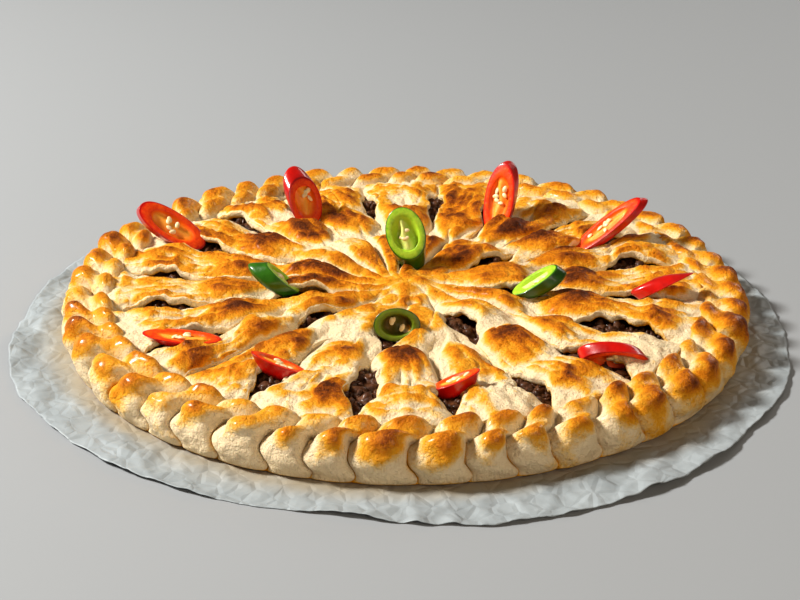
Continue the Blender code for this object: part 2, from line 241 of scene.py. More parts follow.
def feed(tree, value, socket):
    """Sets a socket to a number or a colour, or wires another socket to it."""
    if isinstance(value, (int, float)):
        socket.default_value = value
    elif isinstance(value, tuple):
        socket.default_value = (*value, 1.0)
    else:
        tree.links.new(value, socket)


def texture_noise(tree, scale, detail=4.0, roughness=0.55):
    """Noise on Object coordinates. scale counts features per metre."""
    made = tree.nodes.new("ShaderNodeTexNoise")
    for socket, value in (("Scale", scale), ("Detail", detail), ("Roughness", roughness)):
        made.inputs[socket].default_value = value
    feed(tree, tree.nodes.new("ShaderNodeTexCoord").outputs["Object"], made.inputs["Vector"])
    return made.outputs["Fac"]


def ramp(tree, value, stops):
    """A colour ramp from (position, colour) pairs, or (position, grey) pairs."""
    made = tree.nodes.new("ShaderNodeValToRGB")
    elements = made.color_ramp.elements
    while len(elements) < len(stops):
        elements.new(0.5)
    for element, (position, colour) in zip(elements, stops):
        element.position = position
        element.color = (*colour, 1.0) if isinstance(colour, tuple) else (colour, colour, colour, 1.0)
    feed(tree, value, made.inputs["Fac"])
    return made.outputs["Color"]


def combine(tree, operation, first, second):
    """A math node. Either input may be a socket or a number."""
    made = tree.nodes.new("ShaderNodeMath")
    made.operation = operation
    feed(tree, first, made.inputs[0])
    feed(tree, second, made.inputs[1])
    return made.outputs[0]


def centred(tree, value, strength):
    """Turns a value around 0.5 into one around 0."""
    return combine(tree, "MULTIPLY", combine(tree, "SUBTRACT", value, 0.5), strength)


def mix(tree, share, first, second):
    """A colour mix. Either colour may be a socket or three numbers."""
    made = tree.nodes.new("ShaderNodeMix")
    made.data_type = "RGBA"
    for index, value in ((0, share), (6, first), (7, second)):
        feed(tree, value, made.inputs[index])
    return made.outputs[2]


def painted(tree, name):
    made = tree.nodes.new("ShaderNodeAttribute")
    made.attribute_name = name
    return made.outputs["Fac"]


def bump(tree, shader, height, distance, strength=1.0, before=None):
    made = tree.nodes.new("ShaderNodeBump")
    made.inputs["Distance"].default_value = distance
    made.inputs["Strength"].default_value = strength
    feed(tree, height, made.inputs["Height"])
    if before:
        feed(tree, before, made.inputs["Normal"])
    feed(tree, made.outputs["Normal"], shader.inputs["Normal"])
    return made.outputs["Normal"]


# %% [markdown]
# ## Baked dough
#
# Plain yeast dough bakes from cream through gold to brown, and what stands highest browns first. Each
# crust piece therefore carries a painted value of its bake: 0 in the creases that stayed pale, 1 on the
# tops that nearly burnt. In a few places the same value also holds painted shade: thin dark lines along
# the rim's creases, the lid's cut faces where they turn in under a petal, and part of the browner right
# side of the rim. A colour ramp turns it into the crust's colours, and noise breaks the borders up so that
# the gold spreads in blotches.
#
# A second value, `glaze`, says where egg wash was brushed on. It drives a clear coat: those tops shine,
# and the flour-dusty creases stay dull.

# %% Baked dough
# how far light spreads under the surface, in metres of red, green and blue
SOFT_LIGHT_REACH = (0.004, 0.002, 0.001)
# bake value and colour: cream, straw, gold, amber, brown and char
BAKED = (
    (0.21, (0.90, 0.71, 0.44)),
    (0.31, (0.90, 0.58, 0.20)),
    (0.42, (0.87, 0.38, 0.018)),
    (0.61, (0.68, 0.200, 0.002)),
    (0.82, (0.29, 0.060, 0.001)),
    (1.0, (0.085, 0.016, 0.001)),
)


def baked_dough():
    look, tree, shader = new_material("baked_dough", {
        "Coat Roughness": 0.20,
        "Specular IOR Level": 0.08,
        "Subsurface Weight": 0.05,
        "Subsurface Radius": SOFT_LIGHT_REACH,
        "Subsurface Scale": 1.0,
    })
    blotches = texture_noise(tree, 75.0, 8.0, 0.68)
    patches = texture_noise(tree, 260.0, 5.0, 0.65)
    freckles = texture_noise(tree, 900.0, 4.0, 0.60)
    bake_and_shade = painted(tree, "bake_and_shade")
    uneven = combine(tree, "ADD", centred(tree, blotches, 0.95), centred(tree, patches, 0.45))
    uneven = combine(tree, "ADD", uneven, centred(tree, freckles, 0.35))
    swayed = combine(tree, "MULTIPLY", uneven, combine(tree, "ADD", bake_and_shade, 0.18))
    feed(tree, ramp(tree, combine(tree, "ADD", bake_and_shade, swayed), BAKED), shader.inputs["Base Color"])
    dull = ramp(tree, painted(tree, "glaze"), ((0.0, 0.62), (1.0, 0.40)))
    feed(tree, dull, shader.inputs["Roughness"])
    feed(tree, combine(tree, "MULTIPLY", painted(tree, "glaze"), 0.42), shader.inputs["Coat Weight"])
    skin = bump(tree, shader, patches, 0.0030)
    bump(tree, shader, freckles, 0.0009, before=skin)
    return look


dough = baked_dough()
print("made", dough.name)

# %% [markdown]
# ## The plaited rim
#
# The rim is closed by hand: one fold of dough is pressed over the next, all the way round. Seen from the
# side, every fold is a rounded lobe with a sharp crease on each side. Seen from above, each fold has an
# outer bump and an inner bump with a low saddle between them, and it leans to one side on its way in.
#
# One slice through the rim is a short list: how far out and how high the surface is at each step up the
# wall, over the top and down to the lid, how deep the crease is there, how much it sags, and how far the
# fold has leaned. The list is read as a smooth curve, and the bumps, pits and wrinkles are laid over it.

# %% One slice through the rim
CRIMPS = 48
CRIMP_JITTER = 0.16
BASE_HEIGHT = 0.0007 / RADIUS
# reach, height, press of the crease, sag of the crease, lean in folds
RIM_SECTION = np.array((
    (0.94, BASE_HEIGHT, 0.0, 0.0, 0.16),
    (0.968, BASE_HEIGHT, 0.0, 0.0, 0.14),
    (0.986, 0.011, 0.012, 0.0, 0.13),
    (0.999, 0.036, 0.034, 0.0, 0.1),
    (1.003, 0.072, 0.046, 0.0, 0.03),
    (0.984, 0.106, 0.046, 0.016, 0.0),
    (0.948, 0.116, 0.02, 0.03, 0.1),
    (0.914, 0.108, 0.0, 0.032, 0.34),
    (0.884, 0.118, 0.0, 0.024, 0.56),
    (0.858, 0.11, -0.016, 0.016, 0.68),
    (0.842, 0.092, 0.0, 0.0, 0.74),
    (0.838, 0.07, 0.0, 0.0, 0.74),
))


def curve_through(table, steps):
    """Reads a table of rows as one smooth curve that passes through each row."""
    padded = np.vstack([table[0], table, table[-1]])
    row = np.clip(steps, 0.0, len(table) - 1.0001)
    index = row.astype(int)
    t = (row - index)[:, None]
    before, here, after, later = (padded[index + offset] for offset in range(4))
    straight = (after - before) * t
    square = (2.0 * before - 5.0 * here + 4.0 * after - later) * t**2
    cube = (3.0 * here - before - 3.0 * after + later) * t**3
    return here + 0.5 * (straight + square + cube)


def crimp_sizes():
    """For each fold: how far its crease is shifted, and its size."""
    draw = random.Random(SEED)
    return np.array([(draw.uniform(-1.0, 1.0), draw.uniform(0.75, 1.15)) for _ in range(CRIMPS)])


print("the rim's slice has", len(RIM_SECTION), "steps")

# %% [markdown]
# The rule below takes a vertex's place round the rim, counted in folds, and its step up the slice. Between
# two folds lies a narrow crease that wanders on its way up, and where it reaches the top it opens into a
# pit. Each fold carries two rounded knobs of dough and a lower strand between them. No two folds are
# pressed alike, so each one draws its own strengths: how proud its knobs stand, how high the strand is, and
# how much egg wash it got.
#
# Each fold is also pulled a little over the next one, which tucks the next one's edge under it. A height
# map can't do that, but here a vertex may move sideways as well.

# %% Wrap the sheet into a plaited rim
RIM_COLUMNS = CRIMPS * 22
RIM_ROWS = 84
WALL_STEP = 3.8
PIT_STEP = 5.35
OUTER_STEP = 6.0
INNER_STEP = 8.1
TUCK = 0.15
KNOB_STEPS = 1.3
KNOB_WIDTH = 0.86
KNOB_HEIGHT = 0.028
# cells per metre, octaves and seed of the lumps, knobs and grain of the dough
RIM_UNEVEN = ((62.0, 3, 11), (150.0, 2, 13), (420.0, 2, 17))
# directions in degrees: where the folds stand proudest, and the right side, where they are broad and browner,
# partly as painted shade
PROUDEST, BROADEST = 220.0, -15.0


def fold_draws():
    """For each fold: outer knob, inner knob, strand and how much egg wash it got, all from 0 to 1."""
    return np.random.default_rng(SEED).uniform(0.0, 1.0, (CRIMPS, 4))


def between_folds(values, fold, across):
    """Blends a fold's own value into the next fold's at the crease."""
    share = ease(0.8, 1.2, across)
    back = ease(0.2, -0.2, across)
    here, after, before = values[fold], values[(fold + 1) % CRIMPS], values[fold - 1]
    return here + (after - here) * share + (before - here) * back


def ball(across, step, middle):
    """A rounded knob of dough in the middle of a fold: 1 on its top, 0 at its edge."""
    away = ((2.0 * across - 1.0) / KNOB_WIDTH) ** 2 + ((step - middle) / KNOB_STEPS) ** 2
    return np.clip(1.0 - away, 0.0, 1.0) ** 0.6


def strand(across, step):
    """The rounded bridge of dough between a fold's two knobs."""
    round_back = np.clip(1.0 - ((2.0 * across - 1.0) / KNOB_WIDTH) ** 2, 0.0, 1.0) ** 0.6
    from_outer = ease(OUTER_STEP - 1.0, OUTER_STEP, step)
    return round_back * from_outer * (1.0 - ease(INNER_STEP, INNER_STEP + 1.0, step))


def rim_surface(column, row):
    """Places, bake with some painted shade, and glaze of the rim's vertices."""
    step = row / RIM_ROWS * (len(RIM_SECTION) - 1)
    reach, height, press, sag, lean = curve_through(RIM_SECTION, step).T
    place = (column / RIM_COLUMNS * CRIMPS) % CRIMPS
    fold = place.astype(int) % CRIMPS
    across = place - np.floor(place)
    sizes = crimp_sizes()
    shift, size = sizes[fold].T
    after = sizes[(fold + 1) % CRIMPS, 0]
    draws = fold_draws().T
    outer_size, inner_size, strand_size, washed = (between_folds(part, fold, across) for part in draws)
    flat = around(reach, place * 360.0 / CRIMPS, height)
    wander = noise(flat, 90.0, 3)
    rounded = (1.0 - np.abs(2.0 * across**1.06 - 1.0) ** 2.6) ** 0.50
    crease = 1.0 - rounded
    to_crease = np.minimum(across, 1.0 - across)
    on_wall = ease(1.6, 2.6, step) * (1.0 - ease(4.8, 5.8, step))
    on_top = ease(4.6, 5.6, step) * (1.0 - ease(9.2, 10.0, step))
    bend = -0.09 * hump(WALL_STEP, 0.7, step) + 0.03 * hump(2.6, 0.6, step) + 0.10 * wander
    tuck = TUCK * rounded * across * (on_wall + 0.5 * on_top)
    turn = (place + lean + bend + tuck + CRIMP_JITTER * (shift + (after - shift) * across)) * 360.0 / CRIMPS
    flat = around(reach, turn, height)
    lumps, knobs, grain = (rough(flat, *kind) for kind in RIM_UNEVEN)
    outer, inner = (ball(across, step, middle) for middle in (OUTER_STEP, INNER_STEP))
    bridge = strand(across, step) * (0.15 + 0.75 * strand_size)
    pit = hump(0.0, 0.17, to_crease) * hump(PIT_STEP, 0.80, step)
    uneven = (0.010 * lumps + 0.0030 * knobs + 0.0012 * grain) * on_wall
    reach = reach - press * crease - 0.026 * pit + uneven + 0.008 * outer
    height = height - sag * crease + (size - 1.0) * 0.5 * sag - 0.012 * pit
    knobs_high = np.maximum((0.65 + 0.5 * outer_size) * outer, (0.60 + 0.6 * inner_size) * inner)
    proud = 0.64 + 0.36 * np.cos(np.radians(turn - PROUDEST))
    to_right = np.clip(np.cos(np.radians(turn - BROADEST)), 0.0, 1.0) ** 2
    height = height + KNOB_HEIGHT * proud * np.maximum(knobs_high, bridge) + 0.35 * to_right * sag * crease
    height = height + ((0.0055 + 0.0035 * to_right) * lumps + 0.0042 * knobs + 0.0014 * grain) * on_top
    points = around(reach, turn, height)
    tops = 0.66 * outer**3 * (0.50 + 0.6 * outer_size) + 0.62 * inner**3 * (0.45 + 0.7 * inner_size)
    tops = np.maximum(tops, 0.34 * bridge**2)
    # the right side's extra bake on the top is partly real browning and partly painted shade of the side turned
    # from the key light
    browned_and_shaded = tops + (0.12 + 0.10 * to_right) * on_top * rounded + 0.12 * knobs * on_top
    browned_and_shaded = browned_and_shaded + 0.14 * lumps - 0.30 * pit
    # on the wall the right side is browner too, partly real browning and partly painted shade of the side turned
    # from the key light
    shoulder = (0.14 + 0.14 * to_right) * on_wall * ease(4.0, 5.3, step) * rounded + 0.08 * lumps * on_wall
    shoulder = shoulder + 0.15 * to_right * on_wall
    down_the_lobe = hump(0.48 + 0.12 * (step - 4.5), 0.24, across) * ease(3.0, 4.7, step) * on_wall
    shoulder = shoulder + 0.19 * down_the_lobe * np.clip(0.35 + outer_size + 0.4 * lumps, 0.0, 1.2)
    base_brown = 0.50 * (1.0 - ease(1.4, 2.3, step))
    # painted shade: a thin dark line along each crease of the wall, where the narrow crease would lie in shade
    painted_crease_shade = 0.42 * hump(0.0, 0.035, to_crease) * ease(1.6, 2.4, step) * (1.0 - ease(5.4, 6.0, step))
    bake_and_shade = 0.195 + 0.72 * np.clip(browned_and_shaded, -0.15, 1.2) + shoulder + base_brown + painted_crease_shade
    glaze = np.clip(1.5 * (outer + inner) - 0.35, 0.0, 1.0) * (0.35 + 0.65 * washed)
    return points, bake_and_shade, glaze


rim, rim_column, rim_row = sheet("rim", RIM_COLUMNS, RIM_ROWS)
rim_points, rim_bake_and_shade, rim_glaze = rim_surface(rim_column, rim_row)
place_points(rim, rim_points)
# the rim's bake value, which also holds the painted shade of its creases and part of its right side
paint(rim, "bake_and_shade", rim_bake_and_shade)
paint(rim, "glaze", rim_glaze)
close_seam(rim)
finish_piece(rim, [dough], "crust", "crust")

# %% [markdown]
# ## The lid
#
# The lid was rolled flat, cut with two rings of short radial slits and then laid over the meat. In the
# oven each slit opened into an eye, and the strips between them swelled into petals. The slits of the
# inner ring stand between those of the outer ring, as in pulled lattice.
#
# The columns of a grid run from the middle to the rim, and the slits lie on columns: edges there are split
# in edit mode, and the rule then pulls the two sides apart. The tables
# follow those of the solid model, so the eyes open in the same places. A few stand less wide open here.

# %% Where the slits are
LID_COLUMNS = 80
LID_REACH = 0.868
RING_SEAM = (0.37, 0.45)
VALLEY_HEIGHT = 0.093
PETAL_RELIEF = 0.042
LIP_LIFT = 0.016
STAR_HEIGHT = 0.019
EDGE_RAISE = 0.022
SHUT_RAISE = 0.020
LID_THICKNESS = 0.023
WIDE_OPENING = 0.05
# direction in degrees, reach where the opening starts and ends, its width as a share of the radius
OUTER_SLITS = (
    (12, 0.62, 0.80, 0.060), (28, 0.56, 0.80, 0.070), (44, 0.60, 0.80, 0.022), (63, 0.54, 0.78, 0.070),
    (81, 0.54, 0.78, 0.060), (100, 0.56, 0.80, 0.045), (119, 0.58, 0.80, 0.080), (137, 0.60, 0.82, 0.050),
    (155, 0.56, 0.82, 0.045), (173, 0.62, 0.80, 0.035), (191, 0.60, 0.82, 0.045), (212, 0.58, 0.84, 0.066),
    (224, 0.50, 0.80, 0), (239, 0.56, 0.80, 0.060), (260, 0.52, 0.82, 0.085), (279, 0.56, 0.80, 0.065),
    (297, 0.58, 0.82, 0.065), (316, 0.60, 0.84, 0.070), (333, 0.54, 0.80, 0.080), (354, 0.58, 0.80, 0.022),
)
INNER_SLITS = (
    (33, 0.22, 0.40, 0.055), (69, 0.20, 0.40, 0), (88, 0.08, 0.40, 0.050), (108, 0.20, 0.40, 0),
    (130, 0.20, 0.40, 0), (152, 0.27, 0.42, 0.020), (173, 0.20, 0.40, 0), (195, 0.22, 0.44, 0.045),
    (222, 0.22, 0.42, 0.055), (264, 0.22, 0.42, 0.070), (300, 0.20, 0.44, 0.070), (328, 0.20, 0.40, 0),
    (348, 0.22, 0.44, 0.050),
)


class Ring:
    """One ring of slits, and where a column of the lid lies between them."""

    def __init__(self, slits, columns, cut_from):
        self.angle, self.start, self.end, self.width = np.array(slits, dtype=float).T
        self.cut_from = np.broadcast_to(cut_from or self.start - 0.05, self.start.shape)
        self.away = np.cos(np.radians(self.angle))
        self.skew = np.random.default_rng(len(slits)).uniform(0.72, 1.45, len(slits))
        self.columns = np.array(columns, dtype=float)
        wrapped = self.columns[-1:] - LID_COLUMNS, self.columns, self.columns[:1] + LID_COLUMNS
        self.stations = np.concatenate(wrapped)
        self.turns = np.concatenate([self.angle[-1:] - 360.0, self.angle, self.angle[:1] + 360.0])

    def petal(self, column, side):
        """The petal's number and the share of the way across it."""
        station = np.searchsorted(self.stations, column + 1e-4 * side, side="right") - 1
        station = np.clip(station, 0, len(self.stations) - 2)
        before, after = self.stations[station], self.stations[station + 1]
        return (station - 1) % len(self.angle), (column - before) / (after - before)

    def turn(self, column):
        return np.interp(column, self.stations, self.turns)

    def opening(self, index, reach):
        """How wide slit number index stands open at this reach, as a share of the radius."""
        share = np.clip((reach - self.start[index]) / (self.end[index] - self.start[index]), 0.0, 1.0)
        ragged = 0.20 * np.sin(math.tau * (1.6 * share + 7.0 * self.skew[index]))
        ragged = ragged + 0.11 * np.sin(math.tau * (3.7 * share + 13.0 * self.skew[index]))
        return self.width[index] * (1.0 + ragged) * np.sin(math.pi * share ** self.skew[index]) ** 0.9

    def both_openings(self, column, side, reach):
        index, share = self.petal(column, side)
        return share, self.opening(index, reach), self.opening((index + 1) % len(self.angle), reach)

    def pull(self, column, side, reach):
        """How far the openings on both sides of a petal push it aside."""
        share, before, after = self.both_openings(column, side, reach)
        return 0.5 * (before * (1.0 - share) - after * share)

    def lip(self, column, side, reach):
        """1 on the lip of a wide opening, 0 away from one."""
        share, before, after = self.both_openings(column, side, reach)
        near = before * np.maximum(1.0 - 2.5 * share, 0.0) + after * np.maximum(2.5 * share - 1.5, 0.0)
        return np.minimum(near / WIDE_OPENING, 1.0)

    def cut(self, index, reach):
        """1 along the length that the knife cut, also where the slit stayed shut."""
        begin, end = self.cut_from[index], self.end[index]
        return ease(begin, begin + 0.08, reach) * (1.0 - ease(end - 0.01, end + 0.045, reach))

    def raised(self, column, side, reach):
        """How far a petal's cut edge stands up on the side away from the front."""
        index, share = self.petal(column, side)
        after = (index + 1) % len(self.angle)
        total = 0.0
        sides = (index, self.away[index], 1.0 - 2.0 * share), (after, -self.away[after], 2.0 * share - 1.0)
        for slit, away, near in sides:
            open_part = np.minimum(self.opening(slit, reach) / WIDE_OPENING, 1.0)
            height = SHUT_RAISE * self.cut(slit, reach) + (EDGE_RAISE - SHUT_RAISE) * open_part
            stands = np.clip(away, 0.0, 1.0) - 0.35 * np.clip(-away, 0.0, 1.0)
            total = total + height * stands * np.maximum(near, 0.0) ** 1.4
        return total

    def ridge(self, column, side):
        """1 along the middle of a petal, 0 at its sides."""
        return 1.0 - np.abs(2.0 * self.petal(column, side)[1] - 1.0) ** 2.8


def nearest_even_column(angle):
    return 2 * round(float(np.interp(angle, outer_ring.turns, outer_ring.stations)) / 2)


FIRST_SLIT = 2
STRIP_COLUMNS = LID_COLUMNS // len(OUTER_SLITS)
OUTER_CUT_FROM = 0.40
outer_columns = [FIRST_SLIT + STRIP_COLUMNS * index for index in range(len(OUTER_SLITS))]
outer_ring = Ring(OUTER_SLITS, outer_columns, OUTER_CUT_FROM)
inner_ring = Ring(INNER_SLITS, [nearest_even_column(slit[0]) for slit in INNER_SLITS], None)
print("outer slits:", len(OUTER_SLITS), "inner slits:", len(INNER_SLITS))

# %% [markdown]
# The rule for the lid adds up, at each point: the valley between petals, the petal's own swelling, the
# lifted lip beside an opening, a narrow groove along each slit, and unevenness in several sizes. The fine
# columns crowd together near the slits, where the shape turns sharply.

# %% Swell the petals
FINE = 8
SHEET_COLUMNS = LID_COLUMNS * FINE
SHEET_ROWS = 136
GROOVE_DEPTH = 0.006
GROOVE_WIDTH = 0.007
CROWDING = 0.45
SWAY = 0.010
STAR_TWIST = 40.0
PIT_PLACE = (0.017, -0.131)
# cells per metre, octaves and seed of the swells, lumps and grain, and of the lumps in the middle
LID_UNEVEN = ((26.0, 2, 31), (85.0, 3, 33), (420.0, 2, 36), (60.0, 3, 47))


def crowd(column):
    """Moves the fine columns towards the slits, which lie on even numbers."""
    return column - CROWDING * np.sin(math.pi * column) / math.pi


def petal_table():
    """For each outer petal: reach and strength of its two swellings, its height and where its tip starts."""
    table = []
    for index, slit in enumerate(OUTER_SLITS):
        draw = random.Random(SEED * 100 + index)
        first = 0.52 + draw.uniform(-0.02, 0.02), draw.uniform(0.8, 1.1)
        second = 0.74 + draw.uniform(-0.02, 0.03), draw.uniform(0.6, 1.0)
        after = OUTER_SLITS[(index + 1) % len(OUTER_SLITS)][0]
        half = (after - slit[0]) % 360.0 / 2
        open_inner = [inner[0] for inner in INNER_SLITS if inner[3]]
        blunt = any(abs(turned_from(angle, slit[0] + half)) < 0.8 * half for angle in open_inner)
        table.append((*first, *second, draw.uniform(0.85, 1.25), 0.0 if blunt else 0.34))
    return np.array(table)


def groove(ring, column, reach):
    """1 on the line of a slit and beside it, along the length that the knife cut."""
    deepest = np.zeros_like(reach)
    for index, station in enumerate(ring.columns):
        away = (column - station + LID_COLUMNS / 2) % LID_COLUMNS - LID_COLUMNS / 2
        away = np.abs(away) * 2.0 * math.pi * reach / LID_COLUMNS
        along = ease(ring.start[index] - 0.10, ring.start[index] - 0.02, reach)
        along = along * (1.0 - ease(ring.end[index] + 0.01, ring.end[index] + 0.06, reach))
        deepest = np.maximum(deepest, along * hump(0.0, GROOVE_WIDTH, away))
    return deepest


# %% Add up the shape of the lid


def lid_surface(column, side, reach):
    """Places of the lid's vertices, and three parts of the shape that colour it."""
    petal, across = outer_ring.petal(column, side)
    first_reach, first_size, second_reach, second_size, size, tip = petal_table()[petal].T
    first = hump(first_reach, 0.08, reach) * first_size
    second = hump(second_reach, 0.08, reach) * second_size
    outward = ease(*RING_SEAM, reach)
    raised = ease(0.34, 0.42, reach)
    narrow = np.where(tip > 0.0, 0.25 + 0.75 * ease(tip, tip + 0.19, reach), 1.0)
    far_ridge = 1.0 - np.clip(np.abs(2.0 * across - 1.0) / narrow, 0.0, 1.0) ** 2.8
    near_ridge = inner_ring.ridge(column, side)
    far_lip, near_lip = outer_ring.lip(column, side, reach), inner_ring.lip(column, side, reach)
    far = PETAL_RELIEF * size * far_ridge * (0.35 + 0.65 * np.maximum(first, second)) + LIP_LIFT * far_lip
    far = far + outer_ring.raised(column, side, reach)
    near = PETAL_RELIEF * near_ridge * (0.35 + 0.65 * hump(0.28, 0.10, reach))
    near = near * ease(0.0, 0.22, reach) + STAR_HEIGHT * hump(0.0, 0.12, reach) + LIP_LIFT * near_lip
    near = near + inner_ring.raised(column, side, reach)
    height = VALLEY_HEIGHT + raised * far + (1.0 - raised) * near
    turn = inner_ring.turn(column) + outward * (outer_ring.turn(column) - inner_ring.turn(column))
    pull = outer_ring.pull(column, side, reach) + inner_ring.pull(column, side, reach)
    turn = turn + np.degrees(pull / np.maximum(reach, 0.02))
    flat = around(reach, turn, 0.0)
    sway = SWAY * rough(flat, 38.0, 2, 38) / np.maximum(reach, 0.15)
    twist = STAR_TWIST * hump(0.0, 0.14, reach) * noise(flat, 45.0, 48)
    turn = turn + np.degrees(sway) + twist
    flat = around(reach, turn, 0.0)
    swells, lumps, grain, star_lumps = (rough(flat, *kind) for kind in LID_UNEVEN)
    folds = (1.0 - np.abs(noise(flat, 48.0, 35))) ** 4
    stretched = np.stack([petal * 17.0 + 6.0 * across, 8.0 * reach, 0.0 * reach], axis=-1)
    wrinkles = rough(stretched, 1.0, 2, 39)
    warped = np.stack([np.cos(np.radians(turn)), np.sin(np.radians(turn)), 0.5 * reach], axis=-1) * RADIUS
    creases = (1.0 - np.minimum(np.abs(rough(warped, 120.0, 2, 45)), 1.0)) ** 6 * ease(0.42, 0.62, reach)
    crinkles = (1.0 - np.abs(noise(flat, 110.0, 46))) ** 6
    inward = 1.0 - outward
    cut = np.maximum(groove(outer_ring, column, reach) * outward, groove(inner_ring, column, reach) * inward)
    shut = cut * (1.0 - np.maximum(far_lip * outward, near_lip * inward))
    folds = folds * ease(0.34, 0.50, reach)
    height = height + 0.008 * swells + 0.0050 * lumps + 0.0085 * folds + 0.0010 * grain
    height = height + 0.0060 * wrinkles * ease(0.44, 0.54, reach) * far_ridge - 0.0080 * creases
    height = height - 0.0060 * crinkles + 0.012 * star_lumps * hump(0.0, 0.20, reach)
    from_pit = np.hypot(*(flat[:, :2] - np.array(PIT_PLACE) * RADIUS).T) / RADIUS
    height = height - 0.030 * hump(0.0, 0.012, from_pit) + 0.006 * hump(0.024, 0.010, from_pit)
    points = around(reach, turn, height - GROOVE_DEPTH * shut)
    brow = raised * (first * far_ridge**1.5 + 0.50 * second * far_ridge**2)
    brow = brow + (1.0 - raised) * near_ridge * hump(0.25, 0.12, reach) * 0.9 + 0.75 * hump(0.05, 0.12, reach)
    return points, height, brow, cut


# %% [markdown]
# An oven browns what stands nearest to its roof. So each point's height is compared with the height of its
# surroundings, which is the same surface blurred, once over a wide stretch and once over a narrow one. The
# knife's cuts, the foot of the petals and a few listed places then get more or less.

# %% Brown the tops


def soften(grid, reach, size):
    """Blurs a grid of rows and columns by a size, as a share of the radius."""
    order = np.arange(grid.shape[1] // 2 + 1)
    angle = size / np.maximum(reach, size)
    gain = np.exp(-0.5 * (order[None, :] * angle[:, None]) ** 2)
    smooth = np.fft.irfft(np.fft.rfft(grid, axis=1) * gain, grid.shape[1], axis=1)
    spacing = LID_REACH / SHEET_ROWS
    steps = np.arange(-3 * int(size / spacing), 3 * int(size / spacing) + 1)
    weights = np.exp(-0.5 * (steps * spacing / size) ** 2)
    weights /= weights.sum()
    rows = np.clip(np.arange(len(reach))[:, None] + steps[None, :], 0, len(reach) - 1)
    return np.einsum("rk,rkc->rc", np.broadcast_to(weights, rows.shape), smooth[rows])


# size of the surroundings, and how far above them a place has to stand to count as one
SURROUNDINGS = ((0.055, 0.012), (0.018, 0.005))
# where the top browned most: direction, half width in degrees, reach, half length, strength
BROWNED = (
    (37, 4, 0.50, 0.07, 0.30), (47, 5, 0.50, 0.06, 0.45), (74, 7, 0.57, 0.06, 0.45),
    (113, 6, 0.55, 0.06, 0.45), (132, 6, 0.46, 0.06, 0.45), (168, 14, 0.20, 0.06, 0.28),
    (182, 10, 0.55, 0.10, 0.10), (204, 5, 0.50, 0.07, 0.30), (222, 4, 0.77, 0.05, 0.30),
    (231, 7, 0.50, 0.05, 0.35), (251, 5, 0.47, 0.06, 0.45), (253, 4, 0.73, 0.05, 0.35),
    (270, 6, 0.50, 0.06, 0.50), (294, 5, 0.55, 0.06, 0.35), (306, 5, 0.47, 0.05, 0.35),
    (304, 3, 0.77, 0.04, 0.30), (330, 6, 0.46, 0.05, 0.45), (345, 5, 0.50, 0.06, 0.35),
    (340, 5, 0.78, 0.05, 0.22), (9, 9, 0.55, 0.08, 0.28), (10, 4, 0.80, 0.04, 0.30),
    (165, 3, 0.84, 0.03, 0.40),
)
# the same for places that stayed pale
PALE = (
    (124, 5, 0.62, 0.06, 0.4), (215, 4, 0.50, 0.07, 0.4), (289, 6, 0.75, 0.06, 0.4), (327, 6, 0.78, 0.06, 0.4),
    (130, 20, 0.32, 0.07, 0.35),
)


def spots(table, turn, reach):
    total = np.zeros_like(reach)
    for direction, half_width, place, half_length, strength in table:
        away = turned_from(turn, direction)
        total += strength * hump(0.0, half_width, away) * hump(place, half_length, reach)
    return total


def lid_bake(column, row, points, brow, cut):
    """Browns what stands above its surroundings, in blotches."""
    reaches = np.arange(SHEET_ROWS + 1) / SHEET_ROWS * LID_REACH
    all_columns, all_reaches = np.meshgrid(crowd(np.arange(SHEET_COLUMNS) / FINE), reaches)
    height = lid_surface(all_columns.ravel(), np.ones(all_columns.size), all_reaches.ravel())[1]
    height = height.reshape(all_columns.shape)
    pick = row.astype(int), column.astype(int) % SHEET_COLUMNS
    broad, tight = (((height - soften(height, reaches, size)) / stands)[pick] for size, stands in SURROUNDINGS)
    blotches = rough(points * (1.0, 1.0, 0.0), 38.0, 3, 37)
    bake_and_shade = 0.335 + 0.145 * np.clip(broad, -1.6, 1.6) + 0.11 * np.clip(tight, -1.5, 1.5)
    bake_and_shade = bake_and_shade + 0.10 * np.clip(brow, 0.0, 1.2) + 0.22 * blotches - 0.14 * cut
    reach = np.hypot(points[:, 0], points[:, 1]) / RADIUS
    turn = np.degrees(np.arctan2(points[:, 1], points[:, 0]))
    bake_and_shade = bake_and_shade + spots(BROWNED, turn, reach) - spots(PALE, turn, reach)
    to_back = np.clip(np.sin(np.radians(turn)), -0.5, 1.0)
    return bake_and_shade - 0.13 * ease(0.76, 0.84, reach) + 0.10 * to_back


# %% Split the slits open


def ring_share(ring, reach):
    outward = ease(*RING_SEAM, reach)
    return outward if ring is outer_ring else 1.0 - outward


def edit_only(item, kind, wanted):
    """Opens a mesh in edit mode with only the wanted ones of its "edges" or "polygons" selected."""
    change_mode("OBJECT")
    bpy.context.tool_settings.mesh_select_mode = (False, kind == "edges", kind == "polygons")
    for other in ("vertices", "edges", "polygons"):
        parts = getattr(item.data, other)
        parts.foreach_set("select", wanted if other == kind else np.zeros(len(parts), dtype=bool))
    change_mode("EDIT")


